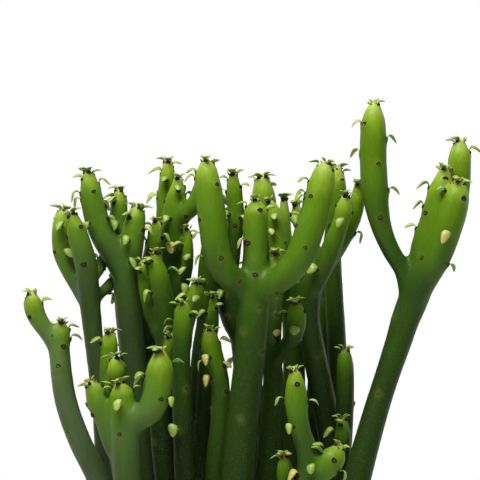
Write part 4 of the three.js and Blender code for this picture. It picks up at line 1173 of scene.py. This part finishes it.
def add_leaf_row(row, root, outward, upward, flat, wide, fold, tint, leaf):
    """Adds one row of a leaf's corners: the upper side from left to right, and the under side back."""
    share = arch_reach[row]
    here, ahead = arch_marks[row], arch_point(along_leaf(row) + STEP_AHEAD)
    heading = (outward * (ahead.x - here.x) + upward * (ahead.y - here.y)).normalized()
    across = (flat - heading * flat.dot(heading)).normalized()
    normal = across.cross(heading).normalized()
    blade = max(0.0, (share - STALK_SHARE) / (1 - STALK_SHARE))
    swell = math.sin(math.pi * blade**BLADE_SKEW) ** BLADE_FULLNESS if 0 < blade < 1 else 0.0
    half = STALK_HALF_WIDTH * (1 - blade) + wide * swell
    for k, side in enumerate(UPPER_SIDE + UNDER_SIDE):
        is_upper = k < len(UPPER_SIDE)
        thick = LEAF_THICKNESS * (1 - EDGE_THINNING * abs(side)) * (1 - END_THINNING * share) / 2
        groove = RIB_GROOVE * half if side == 0 and is_upper and blade > 0 else 0.0
        drop = fold * half * abs(side) ** FOLD_CURVE * min(1.0, FOLD_START * blade)
        height = (thick if is_upper else -thick) - drop - groove
        corner = root + outward * here.x + upward * here.y + across * (half * side) + normal * height
        leaf["corners"].append(corner)
        leaf["tint"].append(tint)
        leaf["rib"].append(1.0 if side == 0 else 0.0)
        leaf["reach"].append(share)


def add_leaf(seat, chance, leaf):
    """Adds one leaf's corners, faces and stored values to a group of leaves."""
    lift, length = stance_of(seat)
    yaw = chance.uniform(-YAW_VARIES, YAW_VARIES)
    across = seat["along"].cross(seat["out"]).normalized()
    out = (seat["out"] * math.cos(yaw) + across * math.sin(yaw)).normalized()
    lift += chance.uniform(-LIFT_VARIES, LIFT_VARIES)
    outward = out * math.cos(lift) + seat["along"] * math.sin(lift)
    upward = seat["along"] * math.cos(lift) - out * math.sin(lift)
    roll = chance.uniform(-ROLL_VARIES, ROLL_VARIES)
    flat = outward.cross(upward).normalized() * math.cos(roll) + upward * math.sin(roll)
    root = seat["centres"] + seat["out"] * (seat["radius"] + LEAF_SEAT * SWELL_DEPTH)
    curl = chance.uniform(*LEAF_CURLS)
    long = length * chance.uniform(*LEAF_SIZES)
    wide = LEAF_HALF_WIDTH * long * chance.uniform(*LEAF_SIZES)
    fold = LEAF_FOLD * chance.uniform(*LEAF_FOLDS)
    is_yellow = YELLOW_SHARE > chance.random()
    tint = seat["yellowed"] or (1.0 if is_yellow else chance.uniform(*LEAF_TINTS))
    if seat["is_sprout"]:
        tint = chance.uniform(*SPROUT_TINTS)
        curl *= SPROUT_CURL
    start = len(leaf["corners"])
    for row in range(LEAF_ROWS + 1):
        add_leaf_row(row, root, outward * long, upward * curl * long, flat, wide, fold, tint, leaf)
    sides = len(UPPER_SIDE + UNDER_SIDE)
    end = start + LEAF_ROWS * sides
    leaf["faces"] += sleeve(start, LEAF_ROWS + 1, sides)
    leaf["faces"].append(tuple(end + k for k in range(sides)))


every_centre = np.vstack([path["centres"] for stem in STEMS for path in paths[stem]])
every_radius = np.concatenate([path["radii"] for stem in STEMS for path in paths[stem]])
every_shoot = np.concatenate(
    [[f"{stem} {shoot}"] * len(path["radii"]) for stem in STEMS for shoot, path in enumerate(paths[stem])]
)


def has_room(seat, stem, shoot):
    """True where a leaf wouldn't run into another shoot."""
    lift, length = stance_of(seat)
    outward = seat["out"] * math.cos(lift) + seat["along"] * math.sin(lift)
    root = seat["centres"] + seat["out"] * seat["radius"]
    others = every_shoot != f"{stem} {shoot}"
    for share in (0.4, 0.7, 0.95):
        spot = np.array(root + outward * length * share)
        apart = np.linalg.norm(every_centre[others] - spot, axis=1) - every_radius[others]
        if apart.min() < LEAF_GAP:
            return False
    return True


chance = random.Random(23)
for stem in STEMS:
    leaf = {"corners": [], "faces": [], "tint": [], "rib": [], "reach": []}
    for shoot, (leaves, scars) in enumerate(seats[stem]):
        turn = chance.uniform(-SPROUT_TURN, SPROUT_TURN)
        sprouts = [seat_at(paths[stem][shoot], 0.0, turn + TURN * k / SPROUTS) for k in range(SPROUTS)]
        for seat in sprouts:
            seat["is_sprout"] = True
            seat["radius"] *= SPROUT_INSET
        for seat in leaves + sprouts:
            if has_room(seat, stem, shoot):
                add_leaf(seat, chance, leaf)
    leaves_piece = new_piece(stem.replace("stem", "leaves"), leaf["corners"], leaf["faces"], leaf_skin)
    for value in ("tint", "rib", "reach"):
        set_values(leaves_piece, value, leaf[value])


# The tip crowns: dry brown stubs of the last bud scales, papery and stiff. They stand in a ring round the
# growing point at each tip, fixed by their feet, and curl up along the shoot.
STUBS = 6
STUBS_ON_SLIM = 4
SLIM_RADIUS = 4 * MM
STUB_LENGTH = 1.7 * MM
STUB_SIZES = (0.6, 1.15)
STUB_RADIUS = 0.5 * MM
STUB_WIDTH = 1.5
STUB_THICKNESS = 0.8
STUB_LEAN = 0.75
STUB_LIFTS = (0.2, 0.9)
STUB_CURL = 0.45
STUB_FEET = (0.55, 0.9)
STUB_DROP = 1.5 * MM
STUB_STRAY = 0.25
STUB_SIDES = 7
STUB_BROWN = (0.190, 0.095, 0.034)
STUB_DRY = (0.360, 0.245, 0.115)

# How thick a stub is along its length, as (share of the length, share of STUB_RADIUS)
STUB_PROFILE = [(0.0, 0.9), (0.3, 1.0), (0.65, 0.75), (0.9, 0.4), (1.0, 0.1)]

dry_scale = Finish("dry_scale")
dry_grain = dry_scale.grain(0.6 * MM)
dry_scale.set(
    Base_Color=dry_scale.blend(dry_scale.spread(dry_grain, 0.45, 0.75, 0.0, 0.8), STUB_BROWN, STUB_DRY),
    Roughness=dry_scale.spread(dry_grain, 0.3, 0.7, 0.65, 0.85),
    Normal=dry_scale.relief(dry_grain, 0.08 * MM),
)


def add_stub(root, heading, along, length, corners, faces):
    """Adds one flat, tapered stub that curls up along the shoot."""
    across = heading.cross(along).normalized()
    thick = heading.cross(across).normalized()
    start = len(corners)
    for share, girth in STUB_PROFILE:
        middle = root + heading * (length * share) + along * (length * STUB_CURL * share * share)
        for k in range(STUB_SIDES):
            angle = TURN * k / STUB_SIDES
            rim = across * math.cos(angle) * STUB_WIDTH + thick * math.sin(angle) * STUB_THICKNESS
            corners.append(middle + rim * (STUB_RADIUS * girth))
    faces += sleeve(start, len(STUB_PROFILE), STUB_SIDES)
    faces.append(tuple(range(len(corners) - STUB_SIDES, len(corners))))


stub_corners, stub_faces = [], []
chance = random.Random(41)
for stem in STEMS:
    for path in paths[stem]:
        count = STUBS if path["radii"].max() > SLIM_RADIUS else STUBS_ON_SLIM
        turn = chance.uniform(0, TURN)
        for k in range(count):
            drop = chance.uniform(0.0, STUB_DROP)
            stray = chance.uniform(-STUB_STRAY, STUB_STRAY)
            seat = seat_at(path, drop, turn + TURN * (k + stray) / count)
            heading = (seat["out"] * STUB_LEAN + seat["along"] * chance.uniform(*STUB_LIFTS)).normalized()
            root = seat["centres"] + seat["out"] * seat["radius"] * chance.uniform(*STUB_FEET)
            length = STUB_LENGTH * chance.uniform(*STUB_SIZES)
            add_stub(root, heading, seat["along"], length, stub_corners, stub_faces)
crowns_piece = new_piece("tip_crowns", stub_corners, stub_faces, dry_scale)


# The stage: a pale floor, a white surround, one broad soft light above the front left, and two tall soft
# ones behind that draw pale edges down the stems, as in the photograph. A light is its name, its place, its
# width and height in metres, and its power in watts.
FLOOR_HALF = 1.6
SURROUND_LIGHT = 0.13
LIGHT_AIM = Vector((0, 0, 0.3))
LIGHTS = [
    ("overhead", (-0.3, -0.65, 1.75), 1.0, 0.8, 42),
    ("edge_left", (-1.3, 0.9, 0.5), 0.7, 1.4, 5),
    ("edge_right", (1.3, 0.9, 0.5), 0.7, 1.4, 5),
]

floor = bpy.data.objects.new("floor", bpy.data.meshes.new("floor"))
floor_corners = [(-FLOOR_HALF, -FLOOR_HALF, 0), (FLOOR_HALF, -FLOOR_HALF, 0)]
floor_corners += [(FLOOR_HALF, FLOOR_HALF, 0), (-FLOOR_HALF, FLOOR_HALF, 0)]
floor.data.from_pydata(floor_corners, [], [(0, 1, 2, 3)])
pale_floor = Finish("pale_floor")
pale_floor.set(Base_Color=(0.86, 0.86, 0.85), Roughness=0.6)
floor.data.materials.append(pale_floor.material)
bpy.context.collection.objects.link(floor)

world = bpy.data.worlds.new("white_surround")
bpy.context.scene.world = world
world.use_nodes = True
sky = world.node_tree
seen = sky.nodes.new("ShaderNodeBackground")
seen.inputs["Color"].default_value = (1, 1, 1, 1)
lighting = sky.nodes["Background"]
lighting.inputs["Color"].default_value = (1, 1, 1, 1)
lighting.inputs["Strength"].default_value = SURROUND_LIGHT
ray = sky.nodes.new("ShaderNodeLightPath")
chosen = sky.nodes.new("ShaderNodeMixShader")
sky.links.new(ray.outputs["Is Camera Ray"], chosen.inputs[0])
sky.links.new(lighting.outputs[0], chosen.inputs[1])
sky.links.new(seen.outputs[0], chosen.inputs[2])
sky.links.new(chosen.outputs[0], sky.nodes["World Output"].inputs["Surface"])

for name, place, width, height, power in LIGHTS:
    lamp = bpy.data.lights.new(name, "AREA")
    lamp.shape = "RECTANGLE"
    lamp.size, lamp.size_y = width, height
    lamp.energy = power
    stand = bpy.data.objects.new(name, lamp)
    stand.location = place
    stand.rotation_euler = (LIGHT_AIM - Vector(place)).to_track_quat("-Z", "Y").to_euler()
    bpy.context.collection.objects.link(stand)


# The camera: level and far off, so that the picture is nearly flat, with a long lens in millimetres
CAMERA_DISTANCE = 2.5
CAMERA_HEIGHT = 0.36
LENS_LENGTH = 375
SENSOR_WIDTH = 36

lens = bpy.data.cameras.new("photographer")
lens.sensor_width = SENSOR_WIDTH
lens.lens = LENS_LENGTH
camera = bpy.data.objects.new("photographer", lens)
camera.location = (0, -CAMERA_DISTANCE, CAMERA_HEIGHT)
camera.rotation_euler = (math.pi / 2, 0, 0)
bpy.context.collection.objects.link(camera)
bpy.context.scene.camera = camera
bpy.context.scene.view_settings.view_transform = "Standard"
